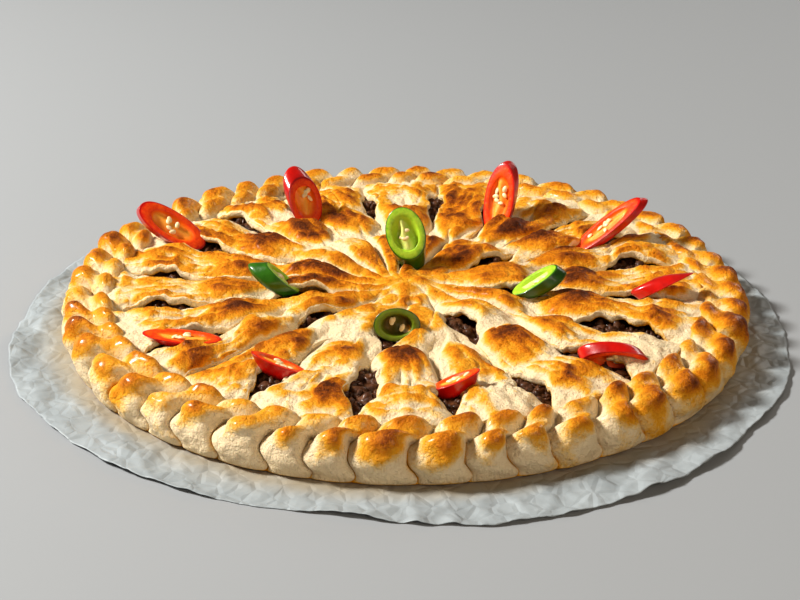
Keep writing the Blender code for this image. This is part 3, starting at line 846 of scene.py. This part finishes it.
def split_slits(item, column, row):
    """Splits the edges that lie on an open stretch of a slit, so that its sides can part."""
    reach = row / SHEET_ROWS * LID_REACH
    widths = np.zeros(len(column))
    for ring in (outer_ring, inner_ring):
        for index, station in enumerate(ring.columns):
            on_slit = np.abs(column / FINE - station) < 0.01
            here = reach[on_slit]
            cut = ring.opening(index, here) + 0.01 * ring.cut(index, here) * ring_share(ring, here)
            widths[on_slit] = np.maximum(widths[on_slit], cut)
    ends = np.empty(len(item.data.edges) * 2, dtype=int)
    item.data.edges.foreach_get("vertices", ends)
    first, second = ends.reshape(-1, 2).T
    along = (column[first] == column[second]) & (np.maximum(widths[first], widths[second]) > 0.0)
    pick_only(item)
    edit_only(item, "edges", along)
    bpy.ops.mesh.edge_split(type="EDGE")
    change_mode("OBJECT")
    return int(along.sum())


def sides_of(item):
    """-1 or 1 for each vertex: on which side of it its faces lie, counted along the columns."""
    mesh = item.data
    points = points_of(item)
    corners = np.empty(len(mesh.loops), dtype=int)
    mesh.loops.foreach_get("vertex_index", corners)
    middles = points[corners, 0].reshape(-1, 4).mean(axis=1).repeat(4)
    total = np.bincount(corners, middles, len(points))
    count = np.bincount(corners, minlength=len(points))
    return np.sign(total / count - points[:, 0] + 1e-9)


lid, lid_column, lid_row = sheet("lid", SHEET_COLUMNS, SHEET_ROWS)
cut_edges = split_slits(lid, lid_column, lid_row)
lid_column, lid_row = grid_places(lid, SHEET_COLUMNS, SHEET_ROWS)
lid_sides = sides_of(lid)
lid_reach = lid_row / SHEET_ROWS * LID_REACH
lid_points, _, lid_brow, lid_cut = lid_surface(crowd(lid_column / FINE), lid_sides, lid_reach)
place_points(lid, lid_points)
bake_and_shade = lid_bake(lid_column, lid_row, lid_points, lid_brow, lid_cut)
paint(lid, "bake_and_shade", bake_and_shade)
paint(lid, "glaze", 0.12 * ease(0.35, 0.70, bake_and_shade))
paint(lid, "side", 0.5 + 0.5 * lid_sides)
print("split", cut_edges, "edges along the slits")

# %% [markdown]
# The lid is still as thin as air. Only its cut edges show how thick the dough is, so the open edges along
# the slits are extruded step by step: first over a rounded lip, then down the cut face, then back in under
# the petal. The cut faces stayed pale, because the knife bared raw dough there. Lower down, where they
# turn in under the petal, they are painted darker as shade.
#
# The painted value `side` tells for each vertex on which side of its slit it lies, and an extrusion copies
# it. So a copy knows which way the opening is.

# %% Give the cut edges their thickness
# towards the opening, and down, both as shares of the lid's thickness, then the bake value; its rise on the last
# steps is painted shade
LIP_STEPS = (
    (0.06, 0.03, 0.32),
    (0.12, 0.12, 0.22),
    (0.13, 0.32, 0.18),
    (0.06, 0.62, 0.26),
    (-0.10, 0.90, 0.44),
    (-0.40, 1.00, 0.62),
)


def read_painted(item, name):
    values = np.empty(len(item.data.vertices), dtype=np.float32)
    item.data.attributes[name].data.foreach_get("value", values)
    return values


def extrude_lips(item):
    """Extrudes the open edges along the steps of LIP_STEPS."""
    pick_only(item)
    change_mode("EDIT")
    bpy.ops.mesh.select_mode(type="EDGE")
    bpy.ops.mesh.select_all(action="SELECT")
    bpy.ops.mesh.remove_doubles(threshold=SAME_PLACE)
    bpy.ops.mesh.select_all(action="DESELECT")
    bpy.ops.mesh.select_non_manifold(
        extend=False, use_wire=False, use_multi_face=False, use_non_contiguous=False, use_verts=False
    )
    change_mode("OBJECT")
    print("open edges:", sum(edge.select for edge in item.data.edges))
    done_out, done_down = 0.0, 0.0
    # the last steps, in under the petal, are painted darker: painted shade
    for out, down, step_bake_and_shade in LIP_STEPS:
        before = len(item.data.vertices)
        change_mode("EDIT")
        bpy.ops.mesh.extrude_region_move(TRANSFORM_OT_translate={"value": (0.0, 0.0, 0.0)})
        change_mode("OBJECT")
        points = points_of(item)
        fresh = points[before:]
        sides = read_painted(item, "side")[before:] * 2.0 - 1.0
        angle = np.arctan2(fresh[:, 1], fresh[:, 0])
        tangent = np.stack([-np.sin(angle), np.cos(angle)], axis=-1)
        torn = noise(fresh, 160.0, 55)
        ragged = out - done_out + 0.05 * torn * (down < 0.9)
        fresh[:, :2] -= tangent * (sides * ragged * LID_THICKNESS * RADIUS)[:, None]
        fresh[:, 2] -= (down - done_down) * (1.0 + 0.35 * torn) * LID_THICKNESS * RADIUS
        place_points(item, points)
        for name, value in (("bake_and_shade", step_bake_and_shade + 0.14 * rough(fresh, 90.0, 3, 57)), ("glaze", 0.0)):
            values = read_painted(item, name)
            values[before:] = np.clip(value, 0.0, 1.0)
            item.data.attributes[name].data.foreach_set("value", values)
        done_out, done_down = out, down


extrude_lips(lid)

# %% [markdown]
# All columns of the lid meet at its middle, where they lie far closer together than the relief needs. A
# Decimate modifier joins first the vertices whose loss changes the shape least, so it thins out the middle
# and leaves the petals and the lips alone.

# %% Thin out the crowded middle
KEPT_SHARE = 0.86
apply_modifier(lid, "DECIMATE", ratio=KEPT_SHARE)
finish_piece(lid, [dough], "crust", "crust")

# %% [markdown]
# ## Minced meat
#
# The meat shows only in the open slits, but it fills the whole pie. Its top is a lumpy disc with loose
# crumbs pressed into it. A crumb is one small sphere knocked out of shape, copied with its own size and
# turn wherever a slit stands open. Cooked mince is dark brown and wet with juice, so its coat is shiny and
# the crumbs catch small sparks of light.

# %% The meat's finish


def cooked_meat():
    look, tree, shader = new_material("cooked_meat", {
        "Roughness": 0.55, "Specular IOR Level": 0.16, "Coat Weight": 0.16, "Coat Roughness": 0.14,
    })
    grain = texture_noise(tree, 260.0, 5.0, 0.65)
    stops = ((0.32, (0.018, 0.005, 0.001)), (0.55, (0.072, 0.022, 0.006)), (0.78, (0.19, 0.075, 0.024)))
    feed(tree, ramp(tree, grain, stops), shader.inputs["Base Color"])
    bump(tree, shader, grain, 0.0010, 0.8)
    return look


meat_look = cooked_meat()

# %% The meat's top
MEAT_COLUMNS, MEAT_ROWS = 240, 70
MEAT_TOP = 0.058
MEAT_SWELL = 0.025
MEAT_REACH = 0.835


def open_share(turn, reach):
    """1 under the middle of a wide opening, 0 away from one."""
    widest = np.zeros_like(reach)
    for ring in (outer_ring, inner_ring):
        for index, angle in enumerate(ring.angle):
            away = np.abs(turned_from(turn, angle))
            widest = np.maximum(widest, ring.opening(index, reach) * (1.0 - ease(3.5, 8.0, away)))
    return np.minimum(widest / WIDE_OPENING, 1.0)


def meat_height(turn, reach):
    flat = around(reach, turn, 0.0)
    return MEAT_TOP + 0.004 * rough(flat, 150.0, 2, 41) + MEAT_SWELL * open_share(turn, reach)


meat, meat_column, meat_row = sheet("meat", MEAT_COLUMNS, MEAT_ROWS)
meat_turn = meat_column * 360.0 / MEAT_COLUMNS
meat_reach = meat_row / MEAT_ROWS * MEAT_REACH
place_points(meat, around(meat_reach, meat_turn, meat_height(meat_turn, meat_reach)))
close_seam(meat, outwards=False)
finish_piece(meat, [meat_look], "meat", "filling")

# %% What crumbs are made of


def new_object(name, data):
    item = bpy.data.objects.new(name, data)
    bpy.context.scene.collection.objects.link(item)
    return item


def crumb_shapes(count):
    """Several small knocked-about spheres, as arrays of vertices and faces."""
    shapes = []
    for index in range(count):
        item = primitive(bpy.ops.mesh.primitive_ico_sphere_add, subdivisions=2, radius=1.0)
        points = points_of(item)
        points = points * (1.0 + 0.85 * noise(points + 10.0 * index, 1.5, 51 + index))[:, None]
        faces = np.array([face.vertices[:] for face in item.data.polygons])
        shapes.append((points, faces))
        bpy.data.objects.remove(item, do_unlink=True)
    return shapes


def scatter(name, shapes, places, sizes, seed):
    """Joins turned and scaled copies of the shapes into one mesh."""
    draw = np.random.default_rng(seed)
    all_points, all_faces, used = [], [], 0
    for place, size in zip(places, sizes):
        points, faces = shapes[draw.integers(len(shapes))]
        turned = points @ random_turn(draw).T * (size * draw.uniform(0.55, 1.4, 3))
        all_points.append(turned + place)
        all_faces.append(faces + used)
        used += len(points)
    mesh = bpy.data.meshes.new(name)
    mesh.from_pydata(np.vstack(all_points), [], np.vstack(all_faces))
    return new_object(name, mesh)


def random_turn(draw):
    """A random rotation, from the parts of a random quaternion."""
    w, x, y, z = draw.normal(size=4)
    length = math.sqrt(w * w + x * x + y * y + z * z)
    w, x, y, z = w / length, x / length, y / length, z / length
    return np.array((
        (1 - 2 * (y * y + z * z), 2 * (x * y - w * z), 2 * (x * z + w * y)),
        (2 * (x * y + w * z), 1 - 2 * (x * x + z * z), 2 * (y * z - w * x)),
        (2 * (x * z - w * y), 2 * (y * z + w * x), 1 - 2 * (x * x + y * y)),
    ))


def meat_places(count, seed):
    """Random places under the openings of both rings."""
    draw = np.random.default_rng(seed)
    found = []
    while len(found) < count:
        turn, reach = draw.uniform(0.0, 360.0, 1), np.sqrt(draw.uniform(0.03, 0.72, 1))
        if open_share(turn, reach)[0] > draw.uniform(0.15, 0.9):
            found.append(around(reach, turn, meat_height(turn, reach))[0])
    return np.array(found)


# %% [markdown]
# ## Chilli slices
#
# A chilli cut on the slant gives a long oval slice. Its edge is glossy skin, then comes a ring of flesh.
# Inside lie two long pockets with a pale spine of pith between them, and flat seeds sit along that spine.
#
# Each slice starts as a short cylinder. Its lower face is extruded in steps to its full depth, and its
# upper face is inset ring by ring. That gives a rule enough vertices to sink the pockets, raise the spine,
# slant the slice and narrow its far end. A painted value called `pith` runs from 0 on the flesh to 1 on the
# spine, and colours the cut. The list says where each slice stands and how it leans, as in the solids.

# %% Skin, flesh and seeds
CUT_STOPS = (0.0, 0.16, 0.50, 1.0)


def chilli_skin(name, deep, bright):
    look, tree, shader = new_material(name, {
        "Roughness": 0.30, "Specular IOR Level": 0.30, "Coat Weight": 0.55, "Coat Roughness": 0.06,
    })
    colour = ramp(tree, texture_noise(tree, 110.0), ((0.35, deep), (0.65, bright)))
    feed(tree, colour, shader.inputs["Base Color"])
    bump(tree, shader, texture_noise(tree, 260.0, 3.0), 0.0004, 0.6)
    return look


def chilli_cut(name, colours):
    look, tree, shader = new_material(name, {
        "Roughness": 0.42,
        "Specular IOR Level": 0.22,
        "Coat Weight": 0.06,
        "Coat Roughness": 0.12,
        "Subsurface Weight": 0.15,
        "Subsurface Radius": SOFT_LIGHT_REACH,
    })
    fibres = texture_noise(tree, 420.0, 5.0, 0.6)
    level = combine(tree, "ADD", painted(tree, "pith"), centred(tree, fibres, 0.5))
    feed(tree, ramp(tree, level, tuple(zip(CUT_STOPS, colours))), shader.inputs["Base Color"])
    bump(tree, shader, fibres, 0.0006, 0.7)
    return look


def seed_look():
    look, tree, shader = new_material("chilli_seed", {"Roughness": 0.35, "Coat Weight": 0.3})
    colour = ramp(tree, texture_noise(tree, 500.0, 2.0), ((0.3, (0.86, 0.60, 0.24)), (0.7, (0.97, 0.85, 0.55))))
    feed(tree, colour, shader.inputs["Base Color"])
    return look


# colours of the skin, from its dark to its bright clouds
# green_chilli_4 gets darker, olive skin and cut colours than the other green slices
SKINS = {
    "red": ((0.34, 0.002, 0.001), (0.58, 0.004, 0.001)),
    "green": ((0.008, 0.055, 0.001), (0.022, 0.12, 0.003)),
    "dark_green": ((0.012, 0.035, 0.003), (0.05, 0.09, 0.006)),
}
# colours of the cut, from the ring of flesh over the pocket's wall and floor to the spine
CUTS = {
    "red": ((0.66, 0.010, 0.001), (0.84, 0.065, 0.002), (0.90, 0.17, 0.004), (0.95, 0.38, 0.04)),
    "green": ((0.16, 0.40, 0.01), (0.40, 0.62, 0.03), (0.34, 0.54, 0.02), (0.72, 0.80, 0.22)),
    "dark_green": ((0.09, 0.15, 0.004), (0.13, 0.18, 0.006), (0.10, 0.085, 0.010), (0.30, 0.16, 0.04)),
}
LOOKS = {kind: (chilli_skin(kind + "_skin", *SKINS[kind]), chilli_cut(kind + "_cut", CUTS[kind])) for kind in CUTS}
SEED_LOOK = seed_look()

# %% Where each slice stands
# name, direction, reach and height of the cut face's middle, the way it looks (heading, lift), the way its
# long axis points (roll), then length, width, depth, slant, taper and hollow
CHILLIES = (
    ("red_chilli_1", 157, 0.784, 0.166, 303, 45, 130, 0.241, 0.105, 0.040, 0.6, 0.86, 0.30),
    ("red_chilli_2", 122, 0.601, 0.165, 308, 24, 87, 0.168, 0.125, 0.041, 1.6, 0.85, 0.35),
    ("red_chilli_3", 59, 0.584, 0.173, 238, 22, 93, 0.234, 0.107, 0.042, 0.8, 0.92, 0.30),
    ("red_chilli_4", 26, 0.691, 0.168, 203, 51, 81, 0.278, 0.090, 0.033, 0.9, 0.92, 0.30),
    ("red_chilli_5", 353, 0.763, 0.140, 318, -53, 51, 0.177, 0.085, 0.037, -1.5, 0.62, 0.25),
    ("red_chilli_6", 213, 0.728, 0.128, 21, 82, 73, 0.224, 0.095, 0.028, -0.9, 0.72, 0.30),
    ("red_chilli_7", 239, 0.647, 0.128, 27, 66, 60, 0.164, 0.090, 0.043, -0.1, 0.55, 0.25),
    ("red_chilli_8", 281, 0.662, 0.128, 154, 66, 122, 0.145, 0.090, 0.043, -0.2, 0.60, 0.20),
    ("red_chilli_9", 317, 0.763, 0.112, 266, -34, 4, 0.181, 0.105, 0.043, -0.6, 0.90, 0.60),
    ("green_chilli_1", 188, 0.360, 0.150, 7, 48, 72, 0.134, 0.085, 0.052, 0.7, 1.10, 0.25),
    ("green_chilli_2", 90, 0.133, 0.212, 270, 25, 106, 0.168, 0.119, 0.090, -1.0, 0.60, 0.25),
    ("green_chilli_3", 346, 0.382, 0.160, 181, 58, 98, 0.151, 0.095, 0.044, 0.6, 1.00, 0.30),
    ("green_chilli_4", 266, 0.350, 0.137, 272, 20, 179, 0.131, 0.093, 0.055, 0.0, 0.92, 0.70),
)


def slice_frame(row):
    """The matrix that carries a slice from its own axes, x along the cut and z out of it, into the pie."""
    _, turn, reach, height, heading, lift, roll = row[:7]
    heading, lift, roll = (math.radians(value) for value in (heading, lift, roll))
    out = Vector((math.cos(heading) * math.cos(lift), math.sin(heading) * math.cos(lift), math.sin(lift)))
    level = Vector((-math.sin(heading), math.cos(heading), 0.0))
    along = level * math.cos(roll) + out.cross(level) * math.sin(roll)
    turned = Matrix((along, out.cross(along), out)).transposed()
    return Matrix.Translation(around(reach, turn, height)) @ turned.to_4x4()


# %% Carve one slice
# the one green slice that gets darker, olive colours
DARK_GREEN_SLICE = "green_chilli_4"
SLICE_SIDES = 48
BLANK_DEPTH = 0.06
DEPTH_STEPS = (0.14, 0.2, 0.2, 0.2, 0.12, 0.08)
TOP_RINGS = (0.024, 0.036, 0.045, 0.045, 0.02, 0.03, 0.05, 0.05, 0.05, 0.05, 0.04)
BOTTOM_RINGS = (0.06, 0.12, 0.14)
POCKET_EDGE = (0.52, 0.66)


def faces_facing(item, up):
    """For each face: whether it looks straight up (up = 1) or straight down (up = -1)."""
    change_mode("OBJECT")
    return [up * face.normal.z > 0.9 for face in item.data.polygons]


def slice_blank():
    """A short cylinder with its top inset in rings and its bottom drawn down in steps, from z 0 to -1."""
    item = primitive(
        bpy.ops.mesh.primitive_cylinder_add, vertices=SLICE_SIDES, radius=0.5, depth=BLANK_DEPTH,
        location=(0.0, 0.0, -BLANK_DEPTH / 2), end_fill_type="NGON",
    )
    bpy.ops.object.transform_apply(location=True, rotation=False, scale=False)
    edit_only(item, "polygons", faces_facing(item, 1))
    for thickness in TOP_RINGS:
        bpy.ops.mesh.inset(thickness=thickness)
    edit_only(item, "polygons", faces_facing(item, -1))
    for depth in DEPTH_STEPS:
        bpy.ops.mesh.extrude_region_move(TRANSFORM_OT_translate={"value": (0.0, 0.0, -depth)})
    for thickness in BOTTOM_RINGS:
        bpy.ops.mesh.inset(thickness=thickness)
    change_mode("OBJECT")
    return item


def carve_slice(row):
    """Shapes a blank into an oval slice, and paints its cut."""
    length, width, depth, slant, taper, hollow = row[7:]
    seed = sum(ord(letter) for letter in row[0])
    item = slice_blank()
    item.name = item.data.name = row[0]
    for face in item.data.polygons:
        on_cut = face.center.z > -0.001 and math.hypot(face.center.x, face.center.y) < 0.485
        face.material_index = 1 if on_cut else 0
    points = points_of(item)
    x, y, z = points.T
    from_axis = 2.0 * np.hypot(x, y)
    on_top = z > -0.001
    inside = on_top * (1.0 - ease(*POCKET_EDGE, from_axis))
    open_tube = ease(0.45, 0.6, hollow)
    ripple = noise(points, 5.0, seed)
    spine = hump(0.0, 0.24, 2.0 * y + 0.12 * ripple) * (1.0 - ease(0.50, 0.66, np.abs(2.0 * x)))
    spine = spine * (1.0 - open_tube)
    sink = hollow * inside * (1.0 - 0.80 * spine + 0.25 * ripple)
    swell = 0.05 * on_top * hump(0.80, 0.12, from_axis) - 0.05 * on_top * ease(0.92, 1.0, from_axis)
    flesh = on_top * (1.0 - ease(0.86, 0.96, from_axis))
    paint(item, "pith", inside * (0.40 + 0.60 * spine + 0.15 * ripple) + 0.14 * flesh)
    narrow = (1.0 + (taper - 1.0) * -z) * (1.0 - 0.30 * ease(0.72, 1.0, -z) ** 2)
    wobble = 1.0 + 0.05 * noise(np.stack([x, y, 0.5 * z], axis=-1), 2.6, seed + 1)
    x, y = x * narrow * wobble * length, y * narrow * wobble * width
    z = (z - sink) * depth + swell * 0.03
    x = x - z * slant
    place_points(item, np.stack([x, y, z], axis=-1) * RADIUS)
    return item


# %% Seeds along the spine
SEED_RADIUS = (0.0012, 0.0017)
SEED_SHAPE = (1.1, 0.80, 0.42)


def slice_seeds(row):
    """Places of the seeds in a slice's own axes."""
    length, width, depth, slant, _, hollow = row[7:]
    draw = random.Random(row[0])
    floor = -hollow * depth
    count = draw.randint(4, 7) if row[0].startswith("red") else 3
    found = []
    for _ in range(count):
        along = draw.triangular(-0.25, 0.25, 0.05) * length
        across = draw.choice((-1, 1)) * draw.uniform(0.02, 0.17) * width
        height = floor * draw.uniform(0.30, 0.60) + 0.002
        found.append((along - slant * height, across, height))
    return found


def add_seed(place, draw):
    """A flat, slightly pointed seed, lying at a small angle."""
    radius = draw.uniform(*SEED_RADIUS)
    item = primitive(bpy.ops.mesh.primitive_uv_sphere_add, segments=16, ring_count=10, radius=radius)
    points = points_of(item) * SEED_SHAPE
    points[:, 0] *= 1.0 + 0.25 * ease(0.0, 0.0016, points[:, 0])
    turn = Matrix.Rotation(draw.uniform(0.0, 6.28), 3, "Z") @ Matrix.Rotation(draw.uniform(-0.5, 0.5), 3, "X")
    place_points(item, points @ np.array(turn).T + np.array(place) * RADIUS)
    for face in item.data.polygons:
        face.material_index = 2
    return item


def dress_slice(row):
    colour = row[0].split("_")[0]
    looks = [*LOOKS["dark_green" if row[0] == DARK_GREEN_SLICE else colour], SEED_LOOK]
    body = carve_slice(row)
    give_looks(body, looks)
    apply_modifier(body, "SUBSURF", levels=1, render_levels=1)
    draw = random.Random(row[0] + "turns")
    seeds = [add_seed(place, draw) for place in slice_seeds(row)]
    for item in seeds:
        give_looks(item, looks)
    pick_only(body, *seeds)
    bpy.ops.object.join()
    matrix = np.array(slice_frame(row))
    place_points(body, points_of(body) @ matrix[:3, :3].T + matrix[:3, 3])
    finish_piece(body, looks, colour + "_chilli", row[0])


for chilli in CHILLIES:
    dress_slice(chilli)

# %% [markdown]
# The crumbs of meat come last, because they lie round the slices and never inside one. Each place is
# carried back into the axes of every slice, where it is easy to see whether it falls within the oval.

# %% Crumbs where no slice stands
CRUMBS = 2300
CRUMB_KINDS = 6
CRUMB_SIZE = (0.0006, 0.0024)
HALF_AND_A_BIT = 0.56


def clear_of_slices(places):
    clear = np.ones(len(places), dtype=bool)
    for row in CHILLIES:
        length, width, depth, slant = row[7:11]
        back = np.array(slice_frame(row).inverted())
        x, y, z = (places @ back[:3, :3].T + back[:3, 3]).T / RADIUS
        oval = np.hypot((x + z * slant) / length, y / width) < HALF_AND_A_BIT
        clear &= ~(oval & (z < 0.3 * depth) & (z > -1.1 * depth))
    return clear


crumb_places = meat_places(CRUMBS, SEED)
crumb_sizes = np.random.default_rng(SEED).uniform(*CRUMB_SIZE, CRUMBS)
clear = clear_of_slices(crumb_places)
crumbs = scatter("meat_crumbs", crumb_shapes(CRUMB_KINDS), crumb_places[clear], crumb_sizes[clear], SEED)
finish_piece(crumbs, [meat_look], "meat")
print("crumbs:", int(clear.sum()), "of", CRUMBS)

# %% [markdown]
# ## Baking paper
#
# The paper was crumpled before it was used, so it is all small facets between sharp creases. An
# irregular net gives just that: each facet belongs to the nearest of many scattered points, and the
# distance to the border with the next point falls to zero along a straight line. Three such nets are laid
# over each other, from large facets to small ones. Near the pie the paper lies flat and has soaked up fat.

# %% Crumple the paper
PAPER_INNER = 0.86
PAPER_FLAT = 1.012
PAPER_WAVE = 0.022
PAPER_REACH = (
    1.10, 1.08, 1.10, 1.11, 1.11, 1.11, 1.10, 1.10, 1.12,
    1.13, 1.165, 1.15, 1.14, 1.12, 1.175, 1.17, 1.14, 1.13,
)
# size of a facet in metres, and how high it stands
FACETS = ((0.030, 0.0033), (0.015, 0.0018), (0.0075, 0.0007))


def from_crease(points, size, seed):
    """How far each point lies from the nearest crease of an irregular net, as a share of a facet."""
    scaled = points[:, :2] / size
    cell = np.floor(scaled).astype(np.int64)
    nearest = np.full(len(scaled), 9.0)
    second = nearest.copy()
    for step in itertools.product((-1, 0, 1), repeat=2):
        corner = np.column_stack([cell + step, np.zeros(len(cell), dtype=np.int64)])
        jitter = np.stack([corner_value(corner, seed), corner_value(corner, seed + 1)], axis=-1)
        away = np.hypot(*(scaled - corner[:, :2] - 0.5 - 0.48 * jitter).T)
        second = np.minimum(second, np.maximum(nearest, away))
        nearest = np.minimum(nearest, away)
    return second - nearest


def crumple(flat):
    """Heights of a sheet with facets of three sizes, as shares of the radius."""
    total = np.zeros(len(flat))
    for index, (size, stands) in enumerate(FACETS):
        present = 0.75 + 0.5 * noise(flat, 0.4 / size, 90 + index)
        stretched = flat * (1.0, 0.7 + 0.3 * index, 1.0)
        total += (-1) ** index * (from_crease(stretched, size, 60 + 5 * index) - 0.35) * present * stands
    return total / RADIUS


def paper_edge(turn):
    """How far the paper reaches in each direction."""
    index = np.arange(-1, len(PAPER_REACH) + 2)
    reaches = np.array(PAPER_REACH)[index % len(PAPER_REACH)]
    return np.interp(turn % 360.0, index * (360.0 / len(PAPER_REACH)), reaches)


def paper_surface(column, row):
    turn = column * 360.0 / PAPER_COLUMNS
    edge = paper_edge(turn)
    edge = edge + 0.006 * rough(around(edge, turn, 0.0), 60.0, 3, 71)
    reach = PAPER_INNER + row / PAPER_ROWS * (edge - PAPER_INNER)
    outside = np.clip((reach - PAPER_FLAT) / (edge - PAPER_FLAT), 0.0, 1.0)
    flat = around(reach, turn, 0.0)
    lift = PAPER_WAVE * (0.16 + 0.28 * noise(flat, 30.0, 81)) * outside
    height = PAPER_LOW + lift + (0.004 + crumple(flat)) * ease(0.97, 1.05, reach)
    return around(reach, turn, np.maximum(height, PAPER_LOW))


def parchment():
    look, tree, shader = new_material("parchment", {"Roughness": 0.48, "Specular IOR Level": 0.35})
    clouds = texture_noise(tree, 60.0)
    net = tree.nodes.new("ShaderNodeTexVoronoi")
    net.feature = "DISTANCE_TO_EDGE"
    net.inputs["Scale"].default_value = 120.0
    feed(tree, tree.nodes.new("ShaderNodeTexCoord").outputs["Object"], net.inputs["Vector"])
    base = ramp(tree, clouds, ((0.3, (0.245, 0.275, 0.29)), (0.7, (0.34, 0.38, 0.40))))
    soaked = combine(tree, "MULTIPLY", painted(tree, "fat"), combine(tree, "ADD", clouds, 0.5))
    feed(tree, mix(tree, soaked, base, (0.31, 0.265, 0.19)), shader.inputs["Base Color"])
    bump(tree, shader, ramp(tree, net.outputs["Distance"], ((0.0, 0.0), (0.22, 1.0))), 0.0005, 0.7)
    return look


PAPER_COLUMNS, PAPER_ROWS = 880, 54
PAPER_LOW = 0.0003 / RADIUS
PAPER_SHEET = 0.0002
paper, paper_column, paper_row = sheet("paper", PAPER_COLUMNS, PAPER_ROWS)
paper_points = paper_surface(paper_column, paper_row)
place_points(paper, paper_points)
paper_reach = np.hypot(paper_points[:, 0], paper_points[:, 1]) / RADIUS
soak = 1.0 - ease(0.99, 1.085 + 0.03 * noise(paper_points, 25.0, 95), paper_reach)
paint(paper, "fat", 0.85 * soak + 0.25 * soak * rough(paper_points, 60.0, 3, 96))
close_seam(paper, outwards=False)
apply_modifier(paper, "SOLIDIFY", thickness=PAPER_SHEET, offset=-1.0)
finish_piece(paper, [parchment()], "paper", "baking_paper")

# %% [markdown]
# ## Floor, light and camera
#
# The stage is plain: a pale floor, one strong light from the left and above, which rakes over the petals
# and draws their relief, a faint one from behind on the right, and a weak warm fill from the front. The
# camera looks down at about 25 degrees with a short telephoto lens.

# %% Floor
floor = primitive(bpy.ops.mesh.primitive_plane_add, size=8.0, location=(0.0, 0.0, 0.0))
floor.name = "floor"
floor_paint, _, _ = new_material("floor_paint", {"Base Color": (0.29, 0.305, 0.32, 1.0), "Roughness": 0.7})
give_looks(floor, [floor_paint])

# %% Lights


def soft_light(name, place, size, power, colour):
    light = bpy.data.lights.new(name, "AREA")
    light.shape = "RECTANGLE"
    light.size, light.size_y = size
    light.energy = power
    light.color = colour
    item = new_object(name, light)
    item.location = place
    item.rotation_euler = (-Vector(place)).to_track_quat("-Z", "Y").to_euler()


soft_light("key", (-1.52, 0.12, 1.33), (0.36, 0.36), 85.0, (1.0, 0.97, 0.92))
soft_light("rim_light", (0.75, 0.95, 0.60), (0.6, 0.3), 2.5, (1.0, 0.97, 0.93))
soft_light("fill", (0.7, -1.2, 0.7), (1.0, 1.0), 7.5, (1.0, 0.84, 0.66))
world = bpy.data.worlds.new("room")
bpy.context.scene.world = world
world.use_nodes = True
background = world.node_tree.nodes["Background"]
background.inputs["Color"].default_value = (1.00, 0.84, 0.66, 1.0)
background.inputs["Strength"].default_value = 0.10
bpy.context.scene.view_settings.view_transform = "Standard"

# %% Camera
CAMERA_PITCH = math.radians(24.71)
CAMERA_DISTANCE = 5.0 * RADIUS
AIM = Vector((-0.016, 0.115, 0.0)) * RADIUS
camera = bpy.data.cameras.new("camera")
camera.lens = 73.96
camera.sensor_width = 36.0
camera_item = new_object("camera", camera)
back_off = Vector((0.0, -math.cos(CAMERA_PITCH), math.sin(CAMERA_PITCH))) * CAMERA_DISTANCE
camera_item.location = AIM + back_off
camera_item.rotation_euler = (math.pi / 2 - CAMERA_PITCH, 0.0, 0.0)
bpy.context.scene.camera = camera_item
print("camera at", [round(value, 3) for value in camera_item.location])
